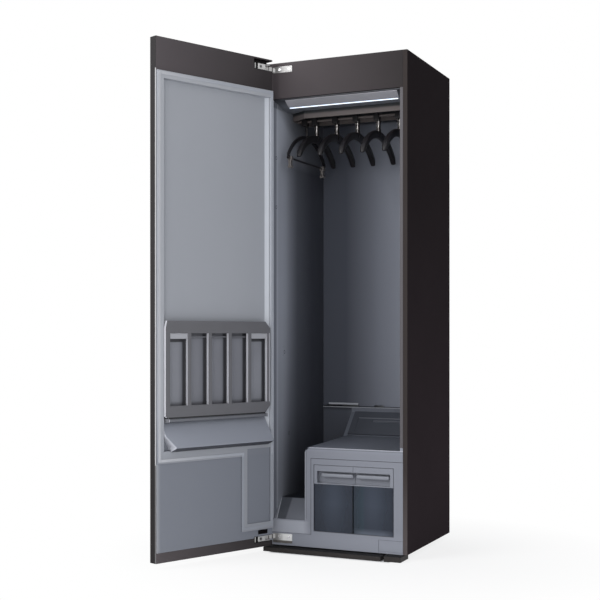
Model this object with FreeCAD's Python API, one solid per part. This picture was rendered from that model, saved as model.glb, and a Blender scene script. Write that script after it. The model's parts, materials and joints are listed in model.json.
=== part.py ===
import FreeCAD, Part
import math
import os

V = FreeCAD.Vector
AXIS_X = V(1, 0, 0)
AXIS_Y = V(0, 1, 0)
AXIS_Z = V(0, 0, 1)

# A clothes care steam cabinet with its door open.
# Origin: on the floor, under the middle of the body's front edge.
# +X to the right of someone who faces the cabinet, +Y to the back, +Z up.

# ---- overall sizes, mm ----
width = 595.0
height = 1960.0
body_depth = 587.0
floor_gap = 21.0
door_open_angle = 112.0
half_width = width / 2

# ---- sheet and wall thicknesses, clearances ----
sheet = 1.2
base_sheet = 1.5
liner_wall = 4.0
trim_wall = 3.0
seat_gap = 0.3
slide_gap = 1.0
pin_gap = 0.05
over = 1.0  # how far a cutting block runs past the face that it cuts

# ---- casing ----
fascia_sheet = 2.0
fascia_return = 25.0
fascia_height = 143.0
side_flange = 17.5
rear_flange = 15.0
top_rim = 17.5
base_height = 40.0
base_side_gap = 0.1
base_boss_r = 14.0
base_boss_height = 12.0
liner_side_space = 29.5
liner_back_space = 31.0
ceiling_drop = 27.0
ceiling_front_drop = 6.0
strip_x = half_width - side_flange
frame_right_x = strip_x - seat_gap
fascia_z = height - fascia_height
liner_half_width = half_width - liner_side_space
liner_outer = liner_half_width + liner_wall
liner_back = body_depth - liner_back_space
ceiling_z = fascia_z - ceiling_drop
ceiling_front_z = fascia_z - ceiling_front_drop
base_top = floor_gap + base_height

# ---- garment hanging ----
hanger_count = 5
hanger_wall_space = 86.6
rail_drop = 28.0
rail_r = 5.0
duct_front_y = 150.0
duct_depth = 196.0
duct_drop = 32.0
duct_wall = 4.0
duct_side_gap = 6.0
duct_corner_run = 69.0
duct_corner_depth = 50.0
neck_r = 11.0
neck_offset = 14.0
head_length = 36.0
head_width = 22.0
head_roof = 4.0
head_corner = 3.0
hook_drop = 19.0
hanger_half_length = 200.0
shoulder_below_rail = 60.0
shoulder_drop = 96.0
shoulder_height = 34.0
shoulder_width = 24.0
shoulder_round = 7.0
trouser_wall_space = 42.0
trouser_bar_drop = 114.0
trouser_bar_r = 4.0
trouser_bar_overhang = 6.0
trouser_neck_r = 5.5
trouser_arm_width = 10.0
trouser_arm_height = 14.0
clip_length = 22.0
clip_width = 18.0
clip_drop = 40.0
clip_head = 9.0
clip_corner = 4.0
clip_mouth = 2.0
clip_mouth_below = 8.0
clip_waist = 4.0
clip_jaw = 8.0
clip_inset = 24.0
hanger_y = duct_front_y + duct_depth / 2
neck_y = hanger_y + neck_offset
rail_z = ceiling_z - rail_drop
duct_bottom_z = ceiling_z - duct_drop
duct_half_width = liner_half_width - duct_side_gap
shoulder_z = rail_z - shoulder_below_rail
trouser_x = -liner_half_width + trouser_wall_space
trouser_bar_z = shoulder_z - trouser_bar_drop

# ---- lamp ----
lamp_front_left_space = 51.4
lamp_front_right_space = 14.9
lamp_back_left_space = 35.7
lamp_back_right_space = 33.2
lamp_front_y = 8.0
lamp_back_y = 96.0
lamp_flat_near = 70.0
lamp_flat_far = 92.0
lamp_front_lip = 2.0
lamp_above_duct = 2.0
lens_left_space = 41.4
lens_right_space = 35.2
lens_near = 76.0
lens_width = 12.0
lens_thickness = 3.0
lens_corner = 3.0
lens_left_x = lens_left_space - liner_half_width
lens_right_x = liner_half_width - lens_right_space
lamp_bottom_z = ceiling_z + lamp_above_duct

# ---- machine compartment ----
well_width = 141.0
cover_front_z = 419.0
cover_rise = 14.0
cover_corner = 20.0
filter_back_space = 21.0
filter_run = 100.0
filter_rise = 95.0
filter_side_margin = 15.0
filter_seat_margin = 4.0
filter_window_margin = 20.0
filter_thickness = 8.0
filter_stile = 31.0
filter_right_stile = 22.0
mesh_low = 15.0
mesh_high = 99.0
mesh_depth = 2.5
filter_pull_inset = 102.0
filter_pull_low = 76.0
filter_pull_width = 7.0
filter_pull_rise = 3.0
ledge_rise = 17.0
outlet_wall_space = 28.0
outlet_length = 139.0
outlet_middle_space = 240.0
outlet_middle_length = 42.0
outlet_height = 7.0
outlet_above_ledge = 5.5
outlet_rib_height = 3.5
outlet_rib = 6.0
outlet_hood_gap = 0.5
outlet_hood_height = 8.0
outlet_hood = 4.0
frame_band = 44.0
frame_left_band = 26.3
frame_seam_z = 72.0
frame_tab_height = 12.0
well_sill_z = 126.0
well_ramp_foot_y = 10.0
well_ramp_y = 94.0
well_ramp_rise = 75.0
plug_r = 4.0
plug_stand = 1.5
plug_y = 112.0
plug_heights = (784.0, 817.0)
cover_x = -liner_half_width + well_width
frame_left_x = cover_x + frame_left_band
filter_head_y = liner_back - filter_back_space
filter_foot_y = filter_head_y - filter_run
filter_foot_z = cover_front_z + cover_rise
filter_head_z = filter_foot_z + filter_rise
filter_left_x = cover_x + filter_side_margin
ledge_z = filter_head_z + ledge_rise

# ---- water tanks ----
bay_left_margin = 13.7
bay_right_margin = 38.7
bay_top_margin = 26.0
bay_sill = 16.0
grip_height = 74.0
lid_drop = 19.0
tank_depth = 240.0
tank_wall = 2.5
tank_corner = 3.0
recess_left_margin = 12.0
recess_right_margin = 13.0
recess_sill = 4.0
recess_brow = 23.0
recess_depth = 26.0
recess_undercut = 10.0
spout_r = 20.0
spout_inset = 60.0
lid_thickness = 4.0
lid_rim = 10.0
tank_neck_y = 40.0
tank_neck_inset = 6.0
tank_left_x = frame_left_x + bay_left_margin
tank_right_x = frame_right_x - bay_right_margin
tank_split_x = (tank_left_x + tank_right_x) / 2
tank_bottom_z = frame_seam_z + bay_sill
tank_top_z = cover_front_z - frame_band - bay_top_margin
tank_window_z = tank_top_z - grip_height
tank_lid_z = tank_top_z - lid_drop
recess_left_x = tank_left_x + recess_left_margin
recess_right_x = tank_right_x - recess_right_margin
bay_back_y = tank_depth + 2 * trim_wall
recess_low_z = tank_window_z + recess_sill
recess_high_z = tank_top_z - recess_brow

# ---- service cover, kick plate and feet ----
service_width = 97.0
service_sill = 7.0
service_lip = 6.0
service_lip_inset = 8.0
kick_front_y = -56.0
kick_depth = 90.0
kick_left_inset = 14.0
kick_block_gap = 13.0
kick_low_z = 1.0
kick_top_gap = 3.5
kick_end_depth = 53.0
kick_lug_inset = 65.0
kick_lug = 20.0
block_width = 68.0
block_right_inset = 9.0
block_depth = 100.0
block_corner = 5.0
block_wall = 4.0
foot_side_inset = 68.0
foot_front_y = 70.0
foot_rear_inset = 57.0
foot_r = 18.0
foot_stem_r = 5.0
foot_stem_reach = 16.0
foot_pad_height = 10.0
foot_pad_round = 2.0
foot_nut_r = 9.0
foot_nut_height = 6.0
service_right_x = strip_x - slide_gap
service_left_x = service_right_x - service_width
service_low_z = floor_gap + service_sill
block_right_x = half_width - block_right_inset
block_left_x = block_right_x - block_width
kick_left_x = -half_width + kick_left_inset
kick_right_x = block_left_x - kick_block_gap
kick_high_z = floor_gap - kick_top_gap
foot_x = half_width - foot_side_inset
foot_rear_y = body_depth - foot_rear_inset

# ---- fans ----
fan_r = 70.0
fan_width = 34.0
fan_blades = 12
fan_plate = 2.5
fan_hub = 8.0
fan_ring_width = 10.0
fan_ring = 3.0
blade_width = 11.0
blade_thickness = 2.0
blade_pitch_angle = 35.0
fan_offset = 13.0
fan_drop = 89.0
fan_gap = 8.0
shaft_r = 4.0
shaft_end = 4.0
motor_r = 32.0
motor_length = 40.0
motor_plate = 3.0
motor_flange = 24.0
motor_flange_rim = 12.0
motor_gap = 3.0
blower_r = 78.0
blower_height = 40.0
blower_back_space = 116.0
blower_wall = 3.0
blower_clearance = 8.0
blower_outlet = 40.0
blower_inlet_r = 46.8
fan_x = tank_split_x + fan_offset
fan_z = cover_front_z - fan_drop
blower_y = liner_back - blower_back_space
blower_shell_r = blower_r + blower_clearance + blower_wall

# ---- heat pump, steam generator, pumps and board ----
compressor_r = 62.0
compressor_height = 190.0
compressor_round = 24.0
compressor_side_space = 78.0
compressor_back_space = 106.0
compressor_feet = 14.0
compressor_foot_r = 9.0
compressor_foot_reach = 26.0
coil_side_space = 15.0
coil_height = 220.0
coil_thickness = 56.0
coil_pitch = 90.0
coil_fin = 1.5
coil_fin_pitch = 12.0
coil_tube_rows = 5
coil_tube_end = 2.0
evaporator_back_space = 136.0
steam_left_gap = 20.0
steam_right_gap = 10.0
steam_width = 78.0
steam_depth = 130.0
steam_height = 96.0
steam_corner = 14.0
steam_outlet_r = 8.0
steam_outlet_height = 26.0
steam_outlet_inset = 30.0
heater_r = 5.0
heater_length = 14.0
heater_rise = 20.0
pump_r = 22.0
pump_height = 62.0
pump_front_gap = 20.0
pump_pitch = 60.0
pump_cap_rim = 6.0
pump_cap_height = 10.0
pump_nozzle_r = 5.0
pump_nozzle_length = 12.0
pump_nozzle_rise = 18.0
board_width = 140.0
board_before_blower = 120.0
board_length = 120.0
board_thickness = 2.0
board_standoff = 8.0
board_foot_r = 4.0
board_foot_inset = 8.0
transformer = (40.0, 30.0, 24.0)
connector = (60.0, 18.0, 12.0)
board_part_inset = 20.0
capacitor_r = 11.0
capacitor_height = 30.0
capacitor_inset = 30.0
pipe_r = 4.0
pipe_spread = 20.0
pipe_rise = 24.0
pipe_rise_step = 16.0
pipe_turn = 6.0
pipe_dip = 12.0
compressor_x = liner_half_width - compressor_side_space
compressor_y = liner_back - compressor_back_space
evaporator_y = liner_back - evaporator_back_space
condenser_y = evaporator_y - coil_pitch
coil_left = cover_x + coil_side_space
steam_right = compressor_x - compressor_r - steam_right_gap
steam_left = steam_right - steam_width
coil_right = steam_left - steam_left_gap
steam_front_y = condenser_y
steam_back_y = steam_front_y + steam_depth
pump_y = bay_back_y + pump_front_gap + pump_nozzle_length + pump_r
pump_xs = (compressor_x - pump_pitch / 2, compressor_x + pump_pitch / 2)
board_right = -blower_shell_r - slide_gap
board_left = board_right - board_width
board_far = blower_y - board_before_blower
board_near = board_far - board_length

# ---- cord gland, strap holes and vents in the back ----
gland_side_inset = 107.5
gland_r = 4.5
gland_wall = 3.0
gland_flange_r = 14.0
gland_length = 18.0
gland_z = 120.0
strap_hole_r = 2.1
strap_spacing = 400.0
strap_drop = 60.0
vent_rows = 9
vent_outside_coil = 48.0
vent_length = 140.0
vent_low_z = 211.0
vent_pitch = 14.0
vent_height = 5.0
gland_x = half_width - gland_side_inset
strap_z = height - strap_drop
vent_left = coil_left - vent_outside_coil
vent_right = vent_left + vent_length
rear_panel_back = body_depth - sheet

# ---- door ----
door_side_gap = 1.0
door_gap = 10.6
door_thickness = 34.4
door_bottom_z = 23.5
door_top_rise = 6.0
hinge_pocket_rise = 13.5
door_edge_r = 1.5
pivot_inset = 14.5
pivot_depth = 7.0
liner_raise = 7.5
liner_sheet = 2.5
liner_hinge_inset = 2.0
liner_free_inset = 3.0
liner_low_z = 62.0
liner_top_margin = 119.0
recess_hinge_inset = 32.0
recess_free_inset = 33.0
recess_low = 435.0
recess_top_margin = 28.0
recess_floor_y = -22.0
recess_draft = 12.0
step_width = 6.0
step_floor_y = -9.0
well_panel_near = 18.0
well_panel_far = 142.0
well_panel_low = 123.0
well_panel_high = 418.0
raised_far = 172.0
raised_low_z = 95.0
lower_panel_z = 390.0
lower_panel_drop = 5.0
slot_near = 28.0
slot_far = 80.0
slot_foot_z = 75.0
slot_head_z = 92.0
gasket_width = 10.5
gasket_hinge_inset = 1.5
gasket_free_inset = 4.0
gasket_top_inset = 4.0
gasket_raised_inset = 1.0
gasket_low_z = 101.0
gasket_seam_rise = 6.0
gasket_air = 1.5
glass_width = 60.0
glass_height = 200.0
glass_z = 1250.0
glass_edge = 40.0
glass_rim = 6.0
door_width = width - 2 * door_side_gap
door_left = -door_width / 2
door_right = door_width / 2
door_top_z = height + door_top_rise
door_back_y = -door_gap
door_front_y = -door_gap - door_thickness
pivot_x = -half_width + pivot_inset
pivot_y = door_front_y + pivot_depth
rim_y = door_back_y + liner_raise
lower_panel_y = rim_y - lower_panel_drop
liner_high_z = height - liner_top_margin
recess_high = liner_high_z - recess_top_margin

# ---- door hinges ----
hinge_plate_inset = 32.5
hinge_plate_length = 84.0
hinge_plate_thickness = 3.0
hinge_plate_corner = 4.0
hinge_pin_r = 2.8
knuckle_r = 5.0
arm_half_width = 4.0
arm_root = 8.0
arm_inset = 3.0
cup_length = 100.0
cup_sheet = 1.5
cup_reach = 1.0
cup_mount = 6.0
upper_hinge_drop = 40.0
upper_hinge_height = 25.0
lower_hinge_low = 44.0
lower_hinge_high = 67.0
lower_plate_foot = 30.0
screw_left_inset = 30.0
screw_right_inset = 12.0
screw_hole_r = 2.7
screw_play = 0.2
screw_head_r = 4.5
screw_head_height = 2.0
screw_slot_depth = 1.0
screw_slot_half_length = 3.0
screw_slot_half_width = 0.6
screw_length = 12.0
hinge_plate_left = -half_width + hinge_plate_inset
hinge_plate_right = hinge_plate_left + hinge_plate_length
upper_hinge_low = height - upper_hinge_drop
upper_hinge_high = upper_hinge_low + upper_hinge_height

# ---- trouser press and drip tray on the door ----
press_near = 30.0
press_free_inset = 31.0
press_low = 560.0
press_high = 918.0
press_corner = 26.0
press_back_thickness = 3.5
press_back_inset = 2.0
press_back_drop = 14.0
press_stile = 21.0
grille_front_y = 9.0
grille_thickness = 11.0
grille_slots = 5
slot_first = 48.0
slot_width = 84.5
slot_low = 602.0
slot_high = 872.0
barrel_r = 6.5
barrel_z = 548.5
barrel_y = 2.0
barrel_near = 50.0
barrel_free_inset = 51.0
barrel_pin_r = 2.5
web_thickness = 3.0
lug_width = 11.0
latch_side_gap = 2.0
latch_height = 21.0
latch_corner = 2.0
latch_tongue_width = 16.0
latch_tongue = 14.0
latch_tongue_inset = 1.5
press_rod_r = 2.5
press_rod_y = -10.0
press_rod_z = 858.0
tray_near = 33.0
tray_free_inset = 33.5
tray_top_z = 540.0
tray_lip_y = 34.0
tray_lip_z = 450.0
tray_lip_height = 3.0
tray_rise = 1.5
tray_keel_y = -2.5
tray_keel_drop = 4.0
tray_taper = 31.0
tray_taper_z = 491.0
tray_sheet = 3.0
press_far = door_width - press_free_inset
press_back_y = recess_floor_y + press_back_thickness
slot_pitch = (press_far - press_stile - slot_first - slot_width) / (grille_slots - 1)
latch_width = slot_width - 2 * latch_side_gap
barrel_far = door_width - barrel_free_inset
tray_far = door_width - tray_free_inset
tray_bottom_z = recess_low + tray_rise
tray_keel_z = recess_low - tray_keel_drop


def block(x0, x1, y0, y1, z0, z1):
    return Part.makeBox(x1 - x0, y1 - y0, z1 - z0, V(x0, y0, z0))


def rod(radius, start, length, axis):
    return Part.makeCylinder(radius, length, start, axis)


def prism_x(outline, x0, x1):
    points = [V(x0, y, z) for y, z in outline]
    face = Part.Face(Part.makePolygon(points + points[:1]))
    return face.extrude(V(x1 - x0, 0, 0))


def prism_y(outline, y0, y1):
    points = [V(x, y0, z) for x, z in outline]
    face = Part.Face(Part.makePolygon(points + points[:1]))
    return face.extrude(V(0, y1 - y0, 0))


def prism_z(outline, z0, z1):
    points = [V(x, y, z0) for x, y in outline]
    face = Part.Face(Part.makePolygon(points + points[:1]))
    return face.extrude(V(0, 0, z1 - z0))


def round_edges(shape, radius, direction):
    edges = [edge for edge in shape.Edges
             if len(edge.Vertexes) == 2 and is_parallel(edge, direction)]
    return shape.makeFillet(radius, edges)


def is_parallel(edge, direction):
    run = edge.Vertexes[1].Point - edge.Vertexes[0].Point
    return run.Length > 0 and run.cross(direction).Length < 1e-6 * run.Length


def pipe(points, radius):
    runs = []
    for start, end in zip(points, points[1:]):
        step = end - start
        runs.append(rod(radius, start, step.Length, step))
    bends = [Part.makeSphere(radius, point) for point in points[1:-1]]
    return runs[0].multiFuse(runs[1:] + bends).removeSplitter()


def save(node, *solids):
    shape = solids[0] if len(solids) == 1 else Part.makeCompound(list(solids))
    os.makedirs("parts", exist_ok=True)
    shape.exportStep("parts/" + node + ".step")


def save_on_door(node, *solids):
    opened = [solid.copy() for solid in solids]
    for solid in opened:
        solid.rotate(V(pivot_x, pivot_y, 0), AXIS_Z, -door_open_angle)
    save(node, *opened)


# ---- casing ----

def ceiling_line(y):
    """Height of the chamber's ceiling, which falls from the fascia to the duct."""
    if y >= duct_front_y:
        return ceiling_z
    fall = (ceiling_front_z - ceiling_z) * (y - trim_wall) / (duct_front_y - trim_wall)
    return ceiling_front_z - fall


def make_side_panel(side):
    outline = [(half_width, 0), (half_width, body_depth),
               (half_width - rear_flange, body_depth),
               (half_width - rear_flange, body_depth - sheet),
               (half_width - sheet, body_depth - sheet),
               (half_width - sheet, sheet), (strip_x, sheet), (strip_x, 0)]
    return prism_z([(side * x, y) for x, y in outline], floor_gap, height)


def make_top_panel():
    inside = half_width - sheet
    front = fascia_sheet + seat_gap
    back = body_depth - sheet
    low = height - top_rim
    panel = block(-inside, inside, front, back, height - sheet, height)
    rim = block(-inside, inside, front, back, low, height - sheet)
    rim = rim.cut(block(-inside + sheet, inside - sheet, front + sheet, back - sheet,
                        low, height - sheet))
    return panel.fuse(rim).removeSplitter()


def make_rear_panel():
    inside = half_width - sheet
    back = rear_panel_back
    low = base_top
    panel = block(-inside, inside, back - sheet, back, low, height - top_rim)
    near = back - sheet - over
    through = sheet + 2 * over
    holes = [rod(gland_r + gland_wall, V(gland_x, near, gland_z), through, AXIS_Y)]
    for side in (-1, 1):
        place = V(side * strap_spacing / 2, near, strap_z)
        holes.append(rod(strap_hole_r, place, through, AXIS_Y))
    for row in range(vent_rows):
        z = vent_low_z + row * vent_pitch
        holes.append(block(vent_left, vent_right, near, near + through, z, z + vent_height))
    return panel.cut(Part.makeCompound(holes))


def foot_places():
    return [(side * foot_x, y) for y in (foot_front_y, foot_rear_y) for side in (-1, 1)]


def make_base_pan():
    inside = half_width - sheet - base_side_gap
    front = trim_wall + seat_gap
    back = rear_panel_back
    top = base_top
    pan = block(-inside, inside, front, back, floor_gap, top)
    pan = pan.cut(block(-inside + base_sheet, inside - base_sheet, front + base_sheet,
                        back - base_sheet, floor_gap + base_sheet, top))
    for x, y in foot_places():
        boss = rod(base_boss_r, V(x, y, floor_gap), base_sheet + base_boss_height, AXIS_Z)
        pan = pan.fuse(boss)
    for x, y in foot_places():
        pan = pan.cut(rod(foot_stem_r + pin_gap, V(x, y, 0), top, AXIS_Z))
    service_way = block(service_left_x, service_right_x, front - over, front + 2 * base_sheet,
                        service_low_z, top + over)
    pan = pan.cut(service_way).cut(screw_holes(0, front + 2 * base_sheet))
    return pan.removeSplitter()


def make_foot(x, y):
    pad = rod(foot_r, V(x, y, 0), foot_pad_height, AXIS_Z)
    pad = pad.makeFillet(foot_pad_round, [edge for edge in pad.Edges if edge.Closed])
    stem_top = floor_gap + base_sheet + foot_stem_reach
    turns = [math.radians(60 * i) for i in range(6)]
    corners = [(x + foot_nut_r * math.cos(turn), y + foot_nut_r * math.sin(turn)) for turn in turns]
    nut = prism_z(corners, foot_pad_height - over, foot_pad_height + foot_nut_height)
    stem = rod(foot_stem_r, V(x, y, foot_pad_height), stem_top - foot_pad_height, AXIS_Z)
    return pad.fuse([nut, stem]).removeSplitter()


def hinge_screw_places(low, high):
    middle = (low + high) / 2
    return [(hinge_plate_left + screw_left_inset, middle),
            (hinge_plate_right - screw_right_inset, middle)]


def all_hinge_screws():
    return (hinge_screw_places(upper_hinge_low, upper_hinge_high)
            + hinge_screw_places(lower_hinge_low, lower_hinge_high))


def screw_holes(y0, y1):
    return Part.makeCompound([rod(screw_hole_r, V(x, y0, z), y1 - y0, AXIS_Y)
                              for x, z in all_hinge_screws()])


def make_hinge_screw(x, z):
    head_y = -hinge_plate_thickness - screw_head_height
    head = rod(screw_head_r, V(x, head_y, z), screw_head_height, AXIS_Y)
    head = head.cut(block(x - screw_slot_half_length, x + screw_slot_half_length,
                          head_y, head_y + screw_slot_depth,
                          z - screw_slot_half_width, z + screw_slot_half_width))
    shank = rod(screw_hole_r - screw_play, V(x, head_y + screw_head_height, z), screw_length, AXIS_Y)
    return head.fuse(shank).removeSplitter()


def make_fascia():
    x = frame_right_x
    front = block(-x, x, 0, fascia_sheet, fascia_z, height)
    underside = block(-x, x, 0, fascia_return, fascia_z, fascia_z + fascia_sheet)
    return front.fuse(underside).cut(screw_holes(-over, fascia_sheet + over)).removeSplitter()


def make_liner_wall(side):
    low = base_top + seat_gap
    top = fascia_z - slide_gap
    flange_low = well_sill_z if side < 0 else cover_front_z + frame_tab_height
    wall = block(liner_half_width, liner_outer, trim_wall + seat_gap, liner_back, low, top)
    flange = block(liner_half_width, frame_right_x, 0, trim_wall, flange_low + seat_gap,
                   fascia_z - seat_gap)
    joint = block(liner_half_width, liner_outer, trim_wall, trim_wall + over,
                  flange_low + seat_gap, top)
    wall = wall.fuse([flange, joint]).removeSplitter()
    if side < 0:
        wall = wall.mirror(V(0, 0, 0), AXIS_X)
        plugs = [rod(plug_r, V(-liner_half_width - over, plug_y, z), over + plug_stand, AXIS_X)
                 for z in plug_heights]
        wall = wall.fuse(plugs)
    return wall


def make_rear_liner():
    x = liner_half_width - seat_gap
    near = liner_back - liner_wall
    wall = block(-x, x, near, liner_back, base_top + seat_gap, ceiling_z - seat_gap)
    low = ledge_z + outlet_above_ledge
    high = low + outlet_height
    left = -liner_half_width + outlet_wall_space
    middle = -liner_half_width + outlet_middle_space
    long_slots = [(left, left + outlet_length), (-left - outlet_length, -left)]
    slots = [block(x0, x1, near - over, liner_back + over, low, high)
             for x0, x1 in long_slots + [(middle, middle + outlet_middle_length)]]
    rib_low = ledge_z + seat_gap
    rib = block(-x, x, near - outlet_rib, near + over, rib_low, rib_low + outlet_rib_height)
    hood_low = high + outlet_hood_gap
    hoods = [block(x0, x1, near - outlet_hood, near + over, hood_low, hood_low + outlet_hood_height)
             for x0, x1 in long_slots]
    return wall.cut(Part.makeCompound(slots)).fuse([rib] + hoods).removeSplitter()


def make_ceiling():
    x = liner_half_width - seat_gap
    back = liner_back
    outline = [(trim_wall + seat_gap, ceiling_front_z), (duct_front_y, ceiling_z),
               (back, ceiling_z), (back, ceiling_z + liner_wall),
               (duct_front_y, ceiling_z + liner_wall),
               (trim_wall + seat_gap, ceiling_front_z + liner_wall)]
    return prism_x(outline, -x, x)


def make_well_floor():
    left = -liner_half_width + seat_gap
    right = cover_x - seat_gap
    high = well_sill_z + well_ramp_rise
    back = liner_back - liner_wall - seat_gap
    front = trim_wall + seat_gap
    outline = [(front, well_sill_z), (well_ramp_foot_y, well_sill_z), (well_ramp_y, high),
               (back, high), (back, high - liner_wall), (well_ramp_y + liner_wall, high - liner_wall),
               (well_ramp_foot_y + liner_wall, well_sill_z - liner_wall),
               (front, well_sill_z - liner_wall)]
    return prism_x(outline, left, right)


def make_front_frame():
    left = -frame_right_x
    top = cover_front_z
    outline = [(left, frame_seam_z + seat_gap), (frame_left_x - seat_gap, frame_seam_z + seat_gap),
               (frame_left_x - seat_gap, top - frame_band), (frame_right_x, top - frame_band),
               (frame_right_x, top + frame_tab_height), (liner_half_width, top + frame_tab_height),
               (liner_half_width, top), (cover_x + cover_corner, top),
               (cover_x, top - cover_corner), (cover_x, well_sill_z), (left, well_sill_z)]
    frame = prism_y(outline, 0, trim_wall)
    return frame


def tank_bay_opening():
    return (tank_left_x - slide_gap, tank_right_x + slide_gap,
            tank_bottom_z - slide_gap, tank_top_z + slide_gap)


def make_tank_bay_panel():
    low = floor_gap
    seam = cover_front_z - frame_band - seat_gap
    outline = [(-frame_right_x, low), (frame_right_x, low), (frame_right_x, seam),
               (frame_left_x, seam), (frame_left_x, frame_seam_z), (-frame_right_x, frame_seam_z)]
    panel = prism_y(outline, 0, trim_wall)
    x0, x1, z0, z1 = tank_bay_opening()
    behind = trim_wall + over
    panel = panel.cut(block(x0, x1, -over, behind, z0, z1))
    panel = panel.cut(block(service_left_x - seat_gap, service_right_x + seat_gap, -over,
                            behind, service_low_z - seat_gap, frame_seam_z + seat_gap))
    panel = panel.cut(screw_holes(-over, behind))
    shelf_top = tank_bottom_z - seat_gap
    bay = block(x0 - trim_wall, x1 + trim_wall, 0, bay_back_y, shelf_top - trim_wall, z1 + trim_wall)
    bay = bay.cut(block(x0, x1, -over, bay_back_y - trim_wall, shelf_top, z1))
    shelf_lip = block(x0, x1, -over, trim_wall, shelf_top - trim_wall, z0)
    return panel.fuse(bay.cut(shelf_lip)).removeSplitter()


def cover_outline(inset):
    """Side outline of the machine cover, drawn in by a wall thickness."""
    slope = math.atan2(filter_head_z - filter_foot_z, filter_head_y - filter_foot_y)
    shift_y = inset * math.sin(slope)
    shift_z = inset * math.cos(slope)
    low = base_top + seat_gap
    back = liner_back - liner_wall - seat_gap
    front = trim_wall + seat_gap
    return [(front, low), (front, cover_front_z - inset),
            (filter_foot_y + shift_y / 2, filter_foot_z - inset),
            (filter_head_y + shift_y, filter_head_z - shift_z),
            (filter_head_y + shift_y, ledge_z - inset), (back, ledge_z - inset), (back, low)]


def filter_seat():
    """Length of the sloped seat, the direction up it and the direction out of it."""
    run = V(0, filter_run, filter_rise)
    along = V(0, filter_run / run.Length, filter_rise / run.Length)
    return run.Length, along, V(0, -along.z, along.y)


def filter_plate(margin, thickness, lift):
    """Flat plate lying on the sloped filter seat."""
    run, along, out = filter_seat()
    start = V(filter_left_x + margin, filter_foot_y, filter_foot_z) + along * margin + out * lift
    right = liner_half_width - seat_gap - margin
    corners = [start, start + along * (run - 2 * margin)]
    corners += [corners[1] + out * thickness, corners[0] + out * thickness]
    face = Part.Face(Part.makePolygon(corners + corners[:1]))
    return face.extrude(V(right - filter_left_x - margin, 0, 0))


def make_machine_cover():
    right = liner_half_width - seat_gap
    shell = prism_x(cover_outline(0), cover_x, right)
    ridge = [edge for edge in shell.Edges
             if all(abs(v.X - cover_x) < 1e-6 and v.Z > cover_front_z - over for v in edge.Vertexes)
             and edge.BoundBox.YMax < filter_foot_y + over]
    shell = shell.makeFillet(cover_corner, ridge)
    core = prism_x(cover_outline(liner_wall), cover_x + liner_wall, right + over)
    shell = shell.cut(core)
    front = trim_wall + seat_gap
    mouth = block(cover_x + liner_wall, right, front - over, front + liner_wall, base_top,
                  cover_front_z - liner_wall)
    base_cut = block(cover_x - over, right + over, 0, liner_back - 2 * liner_wall, 0,
                     base_top + over)
    shell = shell.cut(mouth).cut(base_cut)
    window = filter_plate(filter_window_margin, 3 * liner_wall, -2 * liner_wall)
    return shell.cut(window)


def on_filter(near_x, far_x, low, high, bottom, top):
    """Block on the sloped filter, measured up the slope and out of it."""
    along, out = filter_seat()[1:]
    start = V(near_x, filter_foot_y, filter_foot_z)
    corners = [start + along * low + out * bottom, start + along * high + out * bottom,
               start + along * high + out * top, start + along * low + out * top]
    face = Part.Face(Part.makePolygon(corners + corners[:1]))
    return face.extrude(V(far_x - near_x, 0, 0))


def make_lint_filter():
    """Framed filter that lifts off its sloped seat, with a pull along its mesh."""
    plate = filter_plate(filter_seat_margin, filter_thickness, seat_gap)
    face = seat_gap + filter_thickness
    right = liner_half_width - filter_right_stile
    mesh = on_filter(filter_left_x + filter_stile, right, mesh_low, mesh_high, face - mesh_depth,
                     face + over)
    pull = on_filter(filter_left_x + filter_pull_inset, right, filter_pull_low,
                     filter_pull_low + filter_pull_width, face - mesh_depth - over,
                     face + filter_pull_rise)
    return plate.cut(mesh).fuse(pull).removeSplitter()


def make_service_cover():
    front = block(service_left_x, service_right_x, 0, trim_wall, service_low_z, frame_seam_z)
    lip_low = service_low_z + service_lip
    lip = block(service_left_x + service_lip_inset, service_right_x - service_lip_inset,
                trim_wall, trim_wall + service_lip, lip_low, lip_low + trim_wall)
    return front.fuse(lip).removeSplitter()


def make_kick_boards():
    top = floor_gap - seat_gap
    far_y = kick_front_y + kick_depth
    board = block(kick_left_x, kick_right_x, kick_front_y, kick_front_y + trim_wall,
                  kick_low_z, kick_high_z)
    deck = block(kick_left_x, kick_right_x, kick_front_y, far_y, kick_high_z - trim_wall,
                 kick_high_z)
    end = block(kick_right_x - trim_wall, kick_right_x, kick_front_y, kick_front_y + kick_end_depth,
                kick_low_z, kick_high_z)
    lugs = [block(x, x + kick_lug, far_y - kick_lug, far_y, kick_high_z - over, top)
            for x in (kick_left_x + kick_lug_inset, kick_right_x - kick_lug_inset - kick_lug)]
    corner = block(block_left_x, block_right_x, kick_front_y, kick_front_y + block_depth,
                   kick_low_z, top)
    corner = round_edges(corner, block_corner, AXIS_Z)
    corner = corner.cut(block(block_left_x + block_wall, block_right_x - block_wall,
                              kick_front_y + block_wall, kick_front_y + block_depth - block_wall,
                              kick_low_z - over, top - block_wall))
    return [board.fuse([deck, end] + lugs).removeSplitter(), corner]


# ---- hanging rail, hangers and lamp ----

def arch(y_middle, top, drop, half_length, thickness, x0, x1):
    """Curved shoulder bar: two circular arcs joined at the tips."""
    tip = top - drop
    upper = Part.Arc(V(x0, y_middle - half_length, tip), V(x0, y_middle, top),
                     V(x0, y_middle + half_length, tip)).toShape()
    lower = Part.Arc(V(x0, y_middle + half_length, tip - thickness), V(x0, y_middle, top - thickness),
                     V(x0, y_middle - half_length, tip - thickness)).toShape()
    near = Part.makeLine(lower.Vertexes[-1].Point, upper.Vertexes[0].Point)
    far = Part.makeLine(upper.Vertexes[-1].Point, lower.Vertexes[0].Point)
    return Part.Face(Part.Wire([upper, far, lower, near])).extrude(V(x1 - x0, 0, 0))


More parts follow.
